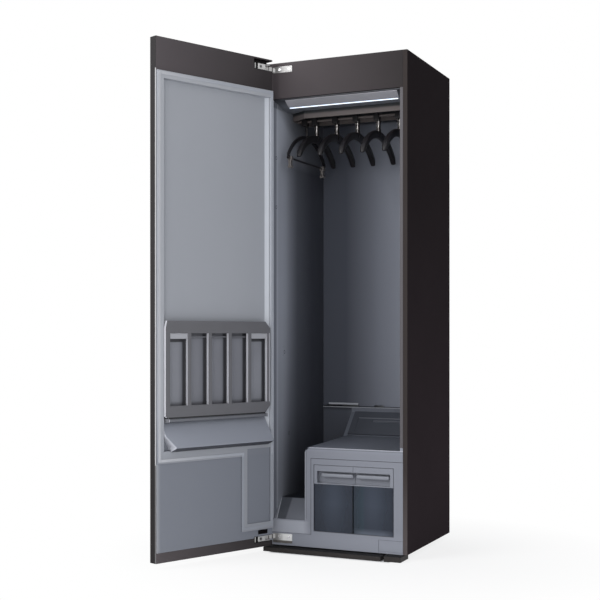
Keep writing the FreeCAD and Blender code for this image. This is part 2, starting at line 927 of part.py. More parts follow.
def duct_outline(inset):
    """Plan of the duct, its front left corner cut off, drawn in by a wall thickness."""
    x = duct_half_width - inset
    front = duct_front_y + inset
    back = duct_front_y + duct_depth - inset
    return [(-x + duct_corner_run, front), (x, front), (x, back), (-x, back),
            (-x, front + duct_corner_depth)]


def make_hanger_duct():
    duct = prism_z(duct_outline(0), duct_bottom_z, ceiling_z)
    duct = duct.cut(prism_z(duct_outline(duct_wall), duct_bottom_z - over, ceiling_z - duct_wall))
    start = -duct_half_width + duct_wall / 2
    rail = rod(rail_r, V(start, hanger_y, rail_z), -2 * start, AXIS_X)
    return duct.fuse(rail).removeSplitter()


def make_hook_head(x, radius):
    """Block that hooks over the rail, with the neck hanging from its rear leg."""
    bore = rail_r + seat_gap
    bottom = rail_z - hook_drop
    head = block(x - head_width / 2, x + head_width / 2, hanger_y - head_length / 2,
                 hanger_y + head_length / 2, bottom, rail_z + bore + head_roof)
    head = round_edges(head, head_corner, AXIS_Z)
    channel = rod(bore, V(x - head_width, hanger_y, rail_z), 2 * head_width, AXIS_X)
    mouth = block(x - head_width, x + head_width, hanger_y - bore, hanger_y + bore,
                  bottom - over, rail_z)
    neck_low = shoulder_z - shoulder_height
    neck = rod(radius, V(x, neck_y, neck_low), bottom - neck_low, AXIS_Z)
    return head.cut(channel.fuse(mouth)).fuse(neck)


def hanger_places():
    first = -liner_half_width + hanger_wall_space
    pitch = -2 * first / (hanger_count - 1)
    return [first + i * pitch for i in range(hanger_count)]


def make_air_hanger(x):
    half = shoulder_width / 2
    shoulders = arch(neck_y, shoulder_z, shoulder_drop, hanger_half_length, shoulder_height,
                     x - half, x + half)
    long_edges = [edge for edge in shoulders.Edges if edge.Length > hanger_half_length]
    shoulders = shoulders.makeFillet(shoulder_round, long_edges)
    return make_hook_head(x, neck_r).fuse(shoulders).removeSplitter()


def make_trouser_hanger():
    x = trouser_x
    half = trouser_arm_width / 2
    arms = arch(neck_y, shoulder_z, shoulder_drop, hanger_half_length, trouser_arm_height,
                x - half, x + half)
    tip = shoulder_z - shoulder_drop - trouser_arm_height / 2
    legs = []
    for side in (-1, 1):
        leg_y = neck_y + side * (hanger_half_length - half)
        legs.append(block(x - half, x + half, leg_y - half, leg_y + half,
                          trouser_bar_z - trouser_bar_r, tip))
    reach = hanger_half_length + trouser_bar_overhang
    bar = rod(trouser_bar_r, V(x, neck_y - reach, trouser_bar_z), 2 * reach, AXIS_Y)
    return make_hook_head(x, trouser_neck_r).fuse([arms, bar] + legs).removeSplitter()


def make_trouser_clip(side):
    y = neck_y + side * (hanger_half_length - clip_inset)
    half = clip_width / 2
    clip = block(trouser_x - half, trouser_x + half, y - clip_length / 2, y + clip_length / 2,
                 trouser_bar_z - clip_drop, trouser_bar_z + clip_head)
    clip = round_edges(clip, clip_corner, AXIS_Y)
    bore = rod(trouser_bar_r + pin_gap, V(trouser_x, y - clip_length, trouser_bar_z),
               2 * clip_length, AXIS_Y)
    mouth = block(trouser_x - clip_mouth / 2, trouser_x + clip_mouth / 2, y - clip_length,
                  y + clip_length, trouser_bar_z - clip_drop - over,
                  trouser_bar_z - trouser_bar_r - clip_mouth_below)
    waist = [block(trouser_x + s * half - (s > 0) * clip_waist,
                   trouser_x + s * half + (s < 0) * clip_waist,
                   y - clip_length, y + clip_length, trouser_bar_z - clip_drop + clip_jaw,
                   trouser_bar_z - trouser_bar_r - clip_waist) for s in (-1, 1)]
    return clip.cut(Part.makeCompound([bore, mouth] + waist))


def make_lamp_housing():
    outline = [(lamp_front_y, ceiling_line(lamp_front_y) - seat_gap),
               (lamp_back_y, ceiling_line(lamp_back_y) - seat_gap),
               (lamp_flat_far, lamp_bottom_z), (lamp_flat_near, lamp_bottom_z),
               (lamp_front_y, ceiling_line(lamp_front_y) - lamp_front_lip)]
    housing = prism_x(outline, -liner_half_width, liner_half_width)
    plan = [(lamp_front_left_space - liner_half_width, lamp_front_y),
            (liner_half_width - lamp_front_right_space, lamp_front_y),
            (liner_half_width - lamp_back_right_space, lamp_back_y),
            (lamp_back_left_space - liner_half_width, lamp_back_y)]
    housing = housing.common(prism_z(plan, 0, height))
    return housing.cut(block(lens_left_x - seat_gap, lens_right_x + seat_gap, lens_near - seat_gap,
                             lens_near + lens_width + seat_gap, lamp_bottom_z - over,
                             lamp_bottom_z + lens_thickness))


def make_lamp_lens():
    lens = block(lens_left_x, lens_right_x, lens_near, lens_near + lens_width,
                 lamp_bottom_z - lens_thickness / 2, lamp_bottom_z + lens_thickness - seat_gap)
    return round_edges(lens, lens_corner, AXIS_Z)


# ---- machinery ----

def machine_floor():
    return floor_gap + base_sheet + seat_gap


def make_impeller(radius, depth):
    """Drum fan standing on its hub, blades upwards, turning about its own axis."""
    plate = rod(radius, V(0, 0, 0), fan_plate, AXIS_Z)
    hub = rod(shaft_r + fan_hub, V(0, 0, 0), depth / 2, AXIS_Z)
    ring = rod(radius, V(0, 0, depth - fan_ring), fan_ring, AXIS_Z)
    ring = ring.cut(rod(radius - fan_ring_width, V(0, 0, depth - fan_ring - over),
                        fan_ring + 2 * over, AXIS_Z))
    fan = plate.fuse([hub, ring])
    middle = radius - fan_ring_width / 2 - over
    for i in range(fan_blades):
        blade = block(middle - blade_width / 2, middle + blade_width / 2, -blade_thickness / 2,
                      blade_thickness / 2, fan_plate / 2, depth - fan_ring / 2)
        blade.rotate(V(middle, 0, 0), AXIS_Z, blade_pitch_angle)
        blade.rotate(V(0, 0, 0), AXIS_Z, 360.0 / fan_blades * i)
        fan = fan.fuse(blade)
    fan = fan.cut(rod(shaft_r + pin_gap, V(0, 0, -over), depth + 2 * over, AXIS_Z))
    return fan.removeSplitter()


def fan_front_y():
    return bay_back_y + fan_gap


def make_circulation_impeller():
    fan = make_impeller(fan_r, fan_width)
    fan.rotate(V(0, 0, 0), AXIS_X, 90)
    fan.translate(V(fan_x, fan_front_y() + fan_width, fan_z))
    return fan


def make_circulation_motor():
    """Motor behind the fan, hung from the underside of the machine cover."""
    back = fan_front_y() + fan_width + fan_gap
    body = rod(motor_r, V(fan_x, back, fan_z), motor_length, AXIS_Y)
    shaft_front = fan_front_y() + shaft_end
    shaft = rod(shaft_r, V(fan_x, shaft_front, fan_z), back + shaft_end - shaft_front, AXIS_Y)
    rise = cover_rise * (back - trim_wall) / (filter_foot_y - trim_wall)
    top = cover_front_z + rise - liner_wall - 2 * seat_gap
    left = fan_x - motor_r
    right = fan_x + motor_r
    plate = block(left, right, back, back + motor_plate, fan_z, top)
    flange = block(left, right, back, back + motor_flange, top - motor_plate, top)
    return body.fuse([shaft, plate, flange]).removeSplitter()


def blower_low():
    return ceiling_z + liner_wall + seat_gap


def blower_lid():
    return blower_low() + blower_height + 2 * blower_wall + 2 * blower_clearance


def make_blower_housing():
    r = blower_shell_r
    low = blower_low()
    lid = blower_lid()
    wall = blower_wall
    front = blower_y - r - blower_outlet
    outlet_right = -r / 3
    shell = rod(r, V(0, blower_y, low), lid - low, AXIS_Z)
    shell = shell.fuse(block(-r, outlet_right, front, blower_y, low, lid)).removeSplitter()
    core = rod(r - wall, V(0, blower_y, low + wall), lid - low - 2 * wall, AXIS_Z)
    core = core.fuse(block(-r + wall, outlet_right - wall, front - over, blower_y,
                           low + wall, lid - wall))
    eye = rod(motor_r + slide_gap, V(0, blower_y, lid - 2 * wall), 3 * wall, AXIS_Z)
    inlet = rod(blower_inlet_r, V(0, blower_y, low - over), 2 * wall, AXIS_Z)
    return shell.cut(core).cut(eye).cut(inlet)


def blower_fan_top():
    return blower_low() + blower_wall + blower_clearance + blower_height


def make_blower_impeller():
    fan = make_impeller(blower_r, blower_height)
    fan.rotate(V(0, 0, 0), AXIS_X, 180)
    fan.translate(V(0, blower_y, blower_fan_top()))
    return fan


def make_blower_motor():
    fan_top = blower_fan_top()
    body = rod(motor_r, V(0, blower_y, fan_top + motor_gap), motor_length, AXIS_Z)
    shaft_low = fan_top - blower_height + shaft_end
    shaft = rod(shaft_r, V(0, blower_y, shaft_low), fan_top + motor_gap + over - shaft_low, AXIS_Z)
    flange = rod(motor_r + motor_flange_rim, V(0, blower_y, blower_lid() + seat_gap),
                 motor_plate, AXIS_Z)
    return body.fuse([shaft, flange]).removeSplitter()


def make_compressor():
    low = machine_floor()
    x, y = compressor_x, compressor_y
    can = rod(compressor_r, V(x, y, low + compressor_feet), compressor_height, AXIS_Z)
    can = can.makeFillet(compressor_round, [edge for edge in can.Edges if edge.Closed])
    reach = (compressor_r - compressor_round) * math.cos(math.radians(45)) + compressor_foot_r
    feet = [rod(compressor_foot_r, V(x + side_x * reach, y + side_y * reach, low),
                compressor_feet + compressor_foot_reach, AXIS_Z)
            for side_x in (-1, 1) for side_y in (-1, 1)]
    return can.fuse(feet).removeSplitter()


def coil_tube_z(row):
    return machine_floor() + coil_height * (row + 0.5) / coil_tube_rows


def make_coil(y):
    """Finned coil: fins across the air path and the tubes through them."""
    low = machine_floor()
    top = low + coil_height
    count = int((coil_right - coil_left) / coil_fin_pitch)
    pitch = (coil_right - coil_left - coil_fin) / count
    fins = []
    for i in range(count + 1):
        x = coil_left + i * pitch
        fins.append(block(x, x + coil_fin, y, y + coil_thickness, low, top))
    length = coil_right - coil_left + 2 * coil_tube_end
    tubes = []
    for row in range(coil_tube_rows):
        for tube_y in (y + coil_thickness / 4, y + coil_thickness * 3 / 4):
            tubes.append(rod(pipe_r, V(coil_left - coil_tube_end, tube_y, coil_tube_z(row)),
                             length, AXIS_X))
    return fins[0].multiFuse(fins[1:] + tubes).removeSplitter()


def make_steam_generator():
    low = machine_floor()
    top = low + steam_height
    tank = block(steam_left, steam_right, steam_front_y, steam_back_y, low, top)
    tank = round_edges(tank, steam_corner, AXIS_Z)
    outlet = rod(steam_outlet_r, V((steam_left + steam_right) / 2,
                                   steam_front_y + steam_outlet_inset, top),
                 steam_outlet_height, AXIS_Z)
    heater = rod(heater_r, V(steam_right - over, steam_back_y - steam_outlet_inset,
                             low + heater_rise), heater_length, AXIS_X)
    return tank.fuse([outlet, heater]).removeSplitter()


def make_pump(x):
    low = machine_floor()
    body = rod(pump_r, V(x, pump_y, low), pump_height, AXIS_Z)
    nozzle_length = pump_r + pump_nozzle_length
    nozzle = rod(pump_nozzle_r, V(x, pump_y - nozzle_length, low + pump_nozzle_rise),
                 nozzle_length, AXIS_Y)
    cap = rod(pump_r - pump_cap_rim, V(x, pump_y, low + pump_height), pump_cap_height, AXIS_Z)
    return body.fuse([nozzle, cap]).removeSplitter()


def make_pipes():
    """Refrigerant lines from the compressor's top to the two coils."""
    can_top = machine_floor() + compressor_feet + compressor_height
    coil_end = coil_right + 2 * pipe_r + pipe_turn
    tube_z = coil_tube_z(coil_tube_rows - 1)
    lines = []
    for side, coil_y in ((-1, condenser_y), (1, evaporator_y)):
        x = compressor_x + side * pipe_spread
        y = coil_y + coil_thickness * 3 / 4
        z = can_top + pipe_rise + max(side, 0) * pipe_rise_step
        lines.append(pipe([V(x, compressor_y, can_top), V(x, compressor_y, z), V(x, y, z),
                           V(coil_end, y, z), V(coil_end, y, tube_z + pipe_dip),
                           V(coil_end, y, tube_z),
                           V(coil_right + coil_tube_end + seat_gap, y, tube_z)], pipe_r))
    return lines


def make_control_board():
    low = ceiling_z + liner_wall + seat_gap
    bottom = low + board_standoff
    board = block(board_left, board_right, board_near, board_far, bottom, bottom + board_thickness)
    legs = [rod(board_foot_r, V(x, y, low), board_standoff + over, AXIS_Z)
            for x in (board_left + board_foot_inset, board_right - board_foot_inset)
            for y in (board_near + board_foot_inset, board_far - board_foot_inset)]
    top = bottom + board_thickness / 2
    parts_left = board_left + board_part_inset
    long_x, long_y, tall = transformer
    parts = [block(parts_left, parts_left + long_x, board_near + board_part_inset,
                   board_near + board_part_inset + long_y, top, top + tall)]
    long_x, long_y, tall = connector
    parts.append(block(parts_left, parts_left + long_x, board_far - board_part_inset - long_y,
                       board_far - board_part_inset, top, top + tall))
    for y in (board_near + capacitor_inset, board_far - capacitor_inset):
        parts.append(rod(capacitor_r, V(board_right - capacitor_inset, y, top),
                         capacitor_height, AXIS_Z))
    return board.fuse(legs + parts).removeSplitter()


def make_cord_gland():
    flange_thickness = sheet - base_side_gap
    back = body_depth - base_side_gap
    flange = rod(gland_flange_r, V(gland_x, back - flange_thickness, gland_z), flange_thickness,
                 AXIS_Y)
    sleeve = rod(gland_r + gland_wall - pin_gap, V(gland_x, back - gland_length, gland_z),
                 gland_length, AXIS_Y)
    bore = rod(gland_r, V(gland_x, back - gland_length - over, gland_z), gland_length + 2 * over,
               AXIS_Y)
    return flange.fuse(sleeve).cut(bore).removeSplitter()


# ---- water tanks ----

def tank_span(side):
    left = tank_left_x if side < 0 else tank_split_x + slide_gap / 2
    right = tank_split_x - slide_gap / 2 if side < 0 else tank_right_x
    return left, right


def make_tank_shell(side):
    """Clear water container, open at the top under the lid."""
    left, right = tank_span(side)
    top = tank_window_z - seat_gap
    shell = block(left, right, 0, tank_depth, tank_bottom_z, top)
    shell = round_edges(shell, tank_corner, AXIS_Z)
    shell = shell.fuse(block(left + tank_neck_inset, right - tank_neck_inset, tank_neck_y,
                             tank_depth, top, tank_lid_z - seat_gap))
    core = block(left + tank_wall, right - tank_wall, tank_wall, tank_depth - tank_wall,
                 tank_bottom_z + tank_wall, top - tank_wall)
    neck_wall = tank_neck_inset + tank_wall
    neck = block(left + neck_wall, right - neck_wall, tank_neck_y + tank_wall,
                 tank_depth - tank_wall, top - 2 * tank_wall, tank_lid_z)
    return shell.cut(core).cut(neck).removeSplitter()


def make_tank_handle(side):
    """Front grip with the finger recess, and the lid that closes the container."""
    left, right = tank_span(side)
    grip_back = tank_neck_y - seat_gap
    grip = block(left, right, 0, grip_back, tank_window_z, tank_top_z)
    near = max(left - over, recess_left_x)
    far = min(right + over, recess_right_x)
    recess = block(near, far, -over, recess_depth, recess_low_z, recess_high_z)
    wall = trim_wall
    hollow = block(left + wall, right - wall, recess_depth + wall, tank_neck_y,
                   tank_window_z + wall, tank_top_z - wall)
    undercut = block(near, far, recess_depth / 2, recess_depth, recess_high_z - over,
                     recess_high_z + recess_undercut)
    lid = block(left, right, recess_depth + over, tank_depth, tank_lid_z, tank_lid_z + lid_thickness)
    spout = rod(spout_r, V((left + right) / 2, tank_depth - spout_inset, tank_lid_z - over),
                lid_thickness + 2 * over, AXIS_Z)
    back_rim = block(left, right, tank_depth - wall, tank_depth, tank_lid_z,
                     tank_lid_z + lid_rim)
    return grip.cut(recess.fuse(undercut)).cut(hollow).fuse([lid.cut(spout), back_rim]).removeSplitter()


# ---- door, modelled shut and turned open when it is saved ----

def from_hinge(distance):
    """X of a point on the shut door, measured from its hinge edge."""
    return door_left + distance


def liner_span():
    return from_hinge(liner_hinge_inset), door_right - liner_free_inset


def hinge_levels():
    return ((upper_hinge_low, upper_hinge_high), (lower_hinge_low, lower_hinge_high))


def make_door_shell():
    shell = block(door_left, door_right, door_front_y, door_back_y, door_bottom_z, door_top_z)
    front_edges = [edge for edge in shell.Edges if is_parallel(edge, AXIS_Z)
                   and abs(edge.Vertexes[0].Y - door_front_y) < 0.01]
    shell = shell.makeFillet(door_edge_r, front_edges)
    core = block(door_left + sheet, door_right - sheet, door_front_y + sheet, door_back_y - sheet,
                 door_bottom_z + sheet, door_top_z - sheet)
    left, right = liner_span()
    window = block(left - seat_gap, right + seat_gap, door_back_y - 2 * sheet, door_back_y + over,
                   liner_low_z - seat_gap, liner_high_z + seat_gap)
    shell = shell.cut(core).cut(window)
    for (low, high), rise in zip(hinge_levels(), (hinge_pocket_rise, 0)):
        shell = shell.cut(block(door_left - over, from_hinge(cup_length) + seat_gap,
                                door_front_y + sheet, door_back_y + over,
                                low - cup_reach - seat_gap, high + cup_reach + seat_gap + rise))
    glass_right = door_right - glass_edge
    shell = shell.cut(block(glass_right - glass_width - seat_gap, glass_right + seat_gap,
                            door_front_y - over, door_front_y + 2 * sheet, glass_z - seat_gap,
                            glass_z + glass_height + seat_gap))
    return shell


def make_touch_glass():
    glass_right = door_right - glass_edge
    glass = block(glass_right - glass_width, glass_right, door_front_y, door_front_y + sheet,
                  glass_z, glass_z + glass_height)
    back = block(glass_right - glass_width - glass_rim, glass_right + glass_rim,
                 door_front_y + sheet, door_front_y + 3 * sheet,
                 glass_z - glass_rim, glass_z + glass_height + glass_rim)
    return glass.fuse(back).removeSplitter()


def raised_outline(inset):
    """Raised part of the liner: all of it above the lower panel, and the well panel's frame."""
    left, right = liner_span()
    far = from_hinge(raised_far) - inset
    low = raised_low_z + inset
    seam = lower_panel_z + inset
    top = liner_high_z - inset
    return [(left + inset, low), (far, low), (far, seam), (right - inset, seam),
            (right - inset, top), (left + inset, top)]


def liner_recess(wall, top_y):
    """Deep recess of the liner with its sloped hinge side, grown by a wall thickness."""
    floor_near = from_hinge(recess_hinge_inset) - wall
    floor_far = door_right - recess_free_inset + wall
    slope_near = floor_near - recess_draft
    step_near = slope_near - step_width
    outline = [(floor_near, recess_floor_y - wall), (floor_far, recess_floor_y - wall),
               (floor_far, top_y), (step_near, top_y), (step_near, step_floor_y - wall),
               (slope_near, step_floor_y - wall)]
    return prism_z(outline, recess_low - wall, recess_high + wall)


def well_panel(wall, top_y):
    return block(from_hinge(well_panel_near) - wall, from_hinge(well_panel_far) + wall,
                 step_floor_y - wall, top_y, well_panel_low - wall, well_panel_high + wall)


def make_door_liner():
    left, right = liner_span()
    inner = liner_sheet
    foot_y = door_back_y - sheet
    raised = prism_y(raised_outline(0), foot_y, rim_y)
    inside = prism_y(raised_outline(inner), foot_y - over, rim_y - inner)
    lower = block(left, right, foot_y, lower_panel_y, liner_low_z, lower_panel_z + inner)
    under = block(left + inner, right - inner, foot_y - over, lower_panel_y - inner,
                  liner_low_z + inner, lower_panel_z)
    liner = raised.fuse(lower.cut(under)).cut(inside)
    liner = liner.multiFuse([liner_recess(inner, rim_y), well_panel(inner, rim_y)])
    top = rim_y + over
    slot = block(from_hinge(slot_near), from_hinge(slot_far), foot_y - over, top,
                 slot_foot_z, slot_head_z)
    notch = block(door_left, from_hinge(cup_length) + 2 * cup_reach, recess_floor_y, top,
                  liner_low_z - over, lower_hinge_high + cup_reach + seat_gap)
    rooms = [liner_recess(0, top), well_panel(0, top), slot, notch]
    return liner.cut(Part.makeCompound(rooms)).removeSplitter()


def gasket_outline(inset):
    """The gasket runs round the chamber and, below it, round the deep well at the hinge side."""
    left, right = liner_span()
    near = left + gasket_hinge_inset + inset
    far = right - gasket_free_inset - inset
    raised = from_hinge(raised_far) - gasket_raised_inset - inset
    low = gasket_low_z + inset
    seam = lower_panel_z + gasket_seam_rise + inset
    top = liner_high_z - gasket_top_inset - inset
    return [(near, low), (raised, low), (raised, seam), (far, seam), (far, top), (near, top)]


def make_gasket():
    ring = prism_y(gasket_outline(0), rim_y, -gasket_air)
    return ring.cut(prism_y(gasket_outline(gasket_width), rim_y - over, over))


def make_hinge_bracket(low, high, plate_low):
    """Plate on the cabinet's front with an arm that reaches into the door to the pin."""
    plate = block(hinge_plate_left, hinge_plate_right, -hinge_plate_thickness, 0, plate_low, high)
    plate = round_edges(plate, hinge_plate_corner, AXIS_Y)
    holes = [rod(screw_hole_r, V(x, -hinge_plate_thickness - over, z),
                 hinge_plate_thickness + 2 * over, AXIS_Y) for x, z in hinge_screw_places(low, high)]
    plate = plate.cut(Part.makeCompound(holes))
    root = V(hinge_plate_left + arm_root, -hinge_plate_thickness / 2, 0)
    pin_at = V(pivot_x, pivot_y, 0)
    along = (root - pin_at).normalize()
    across = V(-along.y, along.x, 0) * arm_half_width
    corners = [pin_at + across, pin_at - across, root - across, root + across]
    arm = prism_z([(c.x, c.y) for c in corners], low + arm_inset, high - arm_inset)
    arm = arm.cut(block(pivot_x, hinge_plate_right, 0, arm_root, low, high))
    knuckle = rod(knuckle_r, V(pivot_x, pivot_y, low + arm_inset), high - low - 2 * arm_inset, AXIS_Z)
    bracket = plate.fuse([arm, knuckle])
    return bracket.cut(rod(hinge_pin_r + pin_gap, V(pivot_x, pivot_y, low), high - low, AXIS_Z))


def make_hinge_cup(low, high):
    """Steel pocket in the door that carries the hinge pin."""
    front = door_front_y + sheet + seat_gap
    back = door_back_y - seat_gap
    bottom = low - cup_reach
    top = high + cup_reach
    far = from_hinge(cup_length)
    cup = block(door_left + seat_gap, far, front, back, bottom, top)
    cup = cup.cut(block(door_left - over, far - cup_sheet, front - over, back + over,
                        bottom + cup_sheet, top - cup_sheet))
    mount = block(from_hinge(cup_length / 2), far, back - 2 * cup_mount, back - 2 * cup_sheet,
                  bottom + cup_mount / 2, top - cup_mount / 2)
    mount = mount.fuse(block(from_hinge(cup_length / 2), far, front, front + cup_sheet,
                             bottom, top))
    cup = cup.fuse(mount)
    pin_hole = rod(hinge_pin_r + pin_gap, V(pivot_x, pivot_y, bottom - over),
                   top - bottom + 2 * over, AXIS_Z)
    return cup.cut(pin_hole).removeSplitter()


def make_hinge_pin(low, high):
    return rod(hinge_pin_r, V(pivot_x, pivot_y, low - cup_reach), high - low + 2 * cup_reach, AXIS_Z)


# ---- trouser press and drip tray ----

def slot_places():
    return [slot_first + i * slot_pitch for i in range(grille_slots)]


def make_press_back():
    seat_y = recess_floor_y + seat_gap
    near = from_hinge(recess_hinge_inset) + press_back_inset
    far = door_right - recess_free_inset - press_back_inset
    top = press_high - press_back_inset
    low = press_low - press_back_drop
    outline = [(near + press_corner, top), (far - press_corner, top), (far, top - press_corner),
               (far, low), (near, low), (near, top - press_corner)]
    plate = prism_y(outline, seat_y, press_back_y)
    lugs = []
    for inner, side in ((from_hinge(barrel_near), -1), (from_hinge(barrel_far), 1)):
        face = inner + side * seat_gap
        edge = inner + side * lug_width
        lugs.append(block(min(face, edge), max(face, edge), press_back_y - over,
                          barrel_y + barrel_pin_r,
                          barrel_z - barrel_r, barrel_z + barrel_r))
        pin_start = min(inner - side * lug_width, face)
        lugs.append(rod(barrel_pin_r, V(pin_start, barrel_y, barrel_z), lug_width + seat_gap, AXIS_X))
    rod_near = from_hinge(barrel_near)
    rod_far = from_hinge(barrel_far)
    press_rod = rod(press_rod_r, V(rod_near, press_rod_y, press_rod_z), rod_far - rod_near, AXIS_X)
    for x in (rod_near, rod_far - lug_width):
        lugs.append(block(x, x + lug_width, press_back_y - over, press_rod_y + press_rod_r,
                          press_rod_z - press_rod_r, press_rod_z + press_rod_r))
    return plate.fuse([press_rod] + lugs).removeSplitter()


def make_press_grille():
    near = from_hinge(press_near)
    far = from_hinge(press_far)
    outline = [(near + press_corner, press_low), (far - press_corner / 4, press_low),
               (far, press_low + press_corner / 4), (far, press_high - press_corner),
               (far - press_corner / 4, press_high), (near + press_corner, press_high),
               (near, press_high - press_corner), (near, press_low + press_corner)]
    back = grille_front_y - grille_thickness
    frame = prism_y(outline, back, grille_front_y)
    slots = [block(from_hinge(s), from_hinge(s + slot_width), back - over, grille_front_y + over,
                   slot_low, slot_high) for s in slot_places()]
    frame = frame.cut(Part.makeCompound(slots))
    barrel_length = barrel_far - barrel_near
    barrel = rod(barrel_r, V(from_hinge(barrel_near), barrel_y, barrel_z), barrel_length, AXIS_X)
    web = block(from_hinge(barrel_near), from_hinge(barrel_far), back, back + web_thickness,
                barrel_z, press_low + over)
    frame = frame.fuse([barrel, web]).removeSplitter()
    for x in (from_hinge(barrel_near), from_hinge(barrel_far) - lug_width):
        frame = frame.cut(rod(barrel_pin_r + pin_gap, V(x - over, barrel_y, barrel_z),
                              lug_width + 2 * over, AXIS_X))
    for middle in latch_middles():
        half = latch_tongue_width / 2 + seat_gap
        frame = frame.cut(block(middle - half, middle + half, back + latch_tongue_inset - seat_gap,
                                grille_front_y - latch_tongue_inset + seat_gap, slot_high - over,
                                slot_high + latch_tongue))
    return frame


def latch_middles():
    places = slot_places()
    return [from_hinge(s + slot_width / 2) for s in (places[0], places[-1])]


def make_press_latch(middle):
    """Thumb tab under the grille's top bar; its tongue slides up inside the bar."""
    back = grille_front_y - grille_thickness
    front = grille_front_y - latch_tongue_inset
    tab = block(middle - latch_width / 2, middle + latch_width / 2, back, front,
                slot_high - latch_height, slot_high - seat_gap)
    tab = round_edges(tab, latch_corner, AXIS_Y)
    half = latch_tongue_width / 2
    tongue = block(middle - half, middle + half, back + latch_tongue_inset, front,
                   slot_high - latch_corner, slot_high + latch_tongue - over)
    return tab.fuse(tongue).removeSplitter()


def make_drip_tray():
    near = from_hinge(tray_near)
    far = from_hinge(tray_far)
    wall_y = recess_floor_y + seat_gap
    lip_low = tray_lip_z - tray_lip_height
    slope = (lip_low - tray_keel_z) / tray_lip_y
    outline = [(wall_y, tray_top_z), (tray_lip_y, tray_lip_z), (tray_lip_y, lip_low),
               (0, tray_keel_z), (tray_keel_y, tray_keel_z), (tray_keel_y, tray_bottom_z),
               (wall_y, tray_bottom_z)]
    t = tray_sheet
    tip_y = tray_lip_y - t
    tip_z = tray_lip_z - t / 3
    floor_z = tray_bottom_z + t
    core = [(wall_y - over, tray_top_z - 2 * t), (tip_y, tip_z),
            (tip_y - (tip_z - floor_z) / slope, floor_z), (wall_y - over, floor_z)]
    tray = prism_x(outline, near, far)
    tray = tray.cut(prism_x(core, near + t, far - tray_taper - t))
    low = tray_keel_z - over
    corner = [(far + over, tray_taper_z), (far, tray_taper_z), (far - tray_taper, lip_low),
              (far - tray_taper, low), (far + over, low)]
    return tray.cut(prism_y(corner, wall_y - over, tray_lip_y + over)).removeSplitter()


# ---- every piece, saved under its own name ----

def build():
    save("left_side_panel", make_side_panel(-1))
    save("right_side_panel", make_side_panel(1))
    save("top_panel", make_top_panel())
    save("rear_panel", make_rear_panel())
    save("base_pan", make_base_pan())
    save("top_fascia", make_fascia())
    save("left_liner_wall", make_liner_wall(-1))
    save("right_liner_wall", make_liner_wall(1))
    save("rear_liner_wall", make_rear_liner())
    save("chamber_ceiling", make_ceiling())
    save("well_floor", make_well_floor())
    save("front_frame", make_front_frame())
    save("tank_bay_panel", make_tank_bay_panel())
    save("machine_cover", make_machine_cover())
    save("lint_filter", make_lint_filter())
    save("service_cover", make_service_cover())
    save("kick_boards", *make_kick_boards())
    places = foot_places()
    save("front_left_foot", make_foot(*places[0]))
    save("front_right_foot", make_foot(*places[1]))
    save("rear_feet", make_foot(*places[2]), make_foot(*places[3]))

    save("hanger_duct", make_hanger_duct())
    for number, x in enumerate(hanger_places(), 1):
        save("air_hanger_" + str(number), make_air_hanger(x))
    save("trouser_hanger", make_trouser_hanger())
    save("front_trouser_clip", make_trouser_clip(-1))
    save("rear_trouser_clip", make_trouser_clip(1))
    save("lamp_housing", make_lamp_housing())
    save("lamp_lens", make_lamp_lens())

    save("circulation_impeller", make_circulation_impeller())
    save("blower_impeller", make_blower_impeller())
    save("blower_housing", make_blower_housing())
    save("fan_motors", make_circulation_motor(), make_blower_motor())
    save("compressor", make_compressor())
    save("condenser", make_coil(condenser_y))
    save("evaporator", make_coil(evaporator_y))
    save("refrigerant_pipes", *make_pipes())
    save("steam_generator", make_steam_generator())
    save("water_pumps", *[make_pump(x) for x in pump_xs])
    save("control_board", make_control_board())
    save("cord_gland", make_cord_gland())

    for side, name in ((-1, "left"), (1, "right")):
        save(name + "_tank_shell", make_tank_shell(side))
        save(name + "_tank_handle", make_tank_handle(side))

    upper, lower = hinge_levels()
    save("hinge_brackets", make_hinge_bracket(*upper, upper_hinge_low),
         make_hinge_bracket(*lower, lower_plate_foot))
    save("hinge_screws", *[make_hinge_screw(x, z) for x, z in all_hinge_screws()])
    save_on_door("door_shell", make_door_shell())
    save_on_door("door_liner", make_door_liner())
    save_on_door("door_gasket", make_gasket())
    save_on_door("touch_glass", make_touch_glass())
    save_on_door("hinge_cups", make_hinge_cup(*upper), make_hinge_cup(*lower))
    save_on_door("hinge_pins", make_hinge_pin(*upper), make_hinge_pin(*lower))
    save_on_door("press_back_plate", make_press_back())
    save_on_door("press_grille", make_press_grille())
    right_latch, left_latch = [make_press_latch(middle) for middle in latch_middles()]
    save_on_door("left_press_latch", left_latch)
    save_on_door("right_press_latch", right_latch)
    save_on_door("drip_tray", make_drip_tray())


build()
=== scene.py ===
import bpy
import bmesh
import math
import json
from mathutils import Matrix, Vector

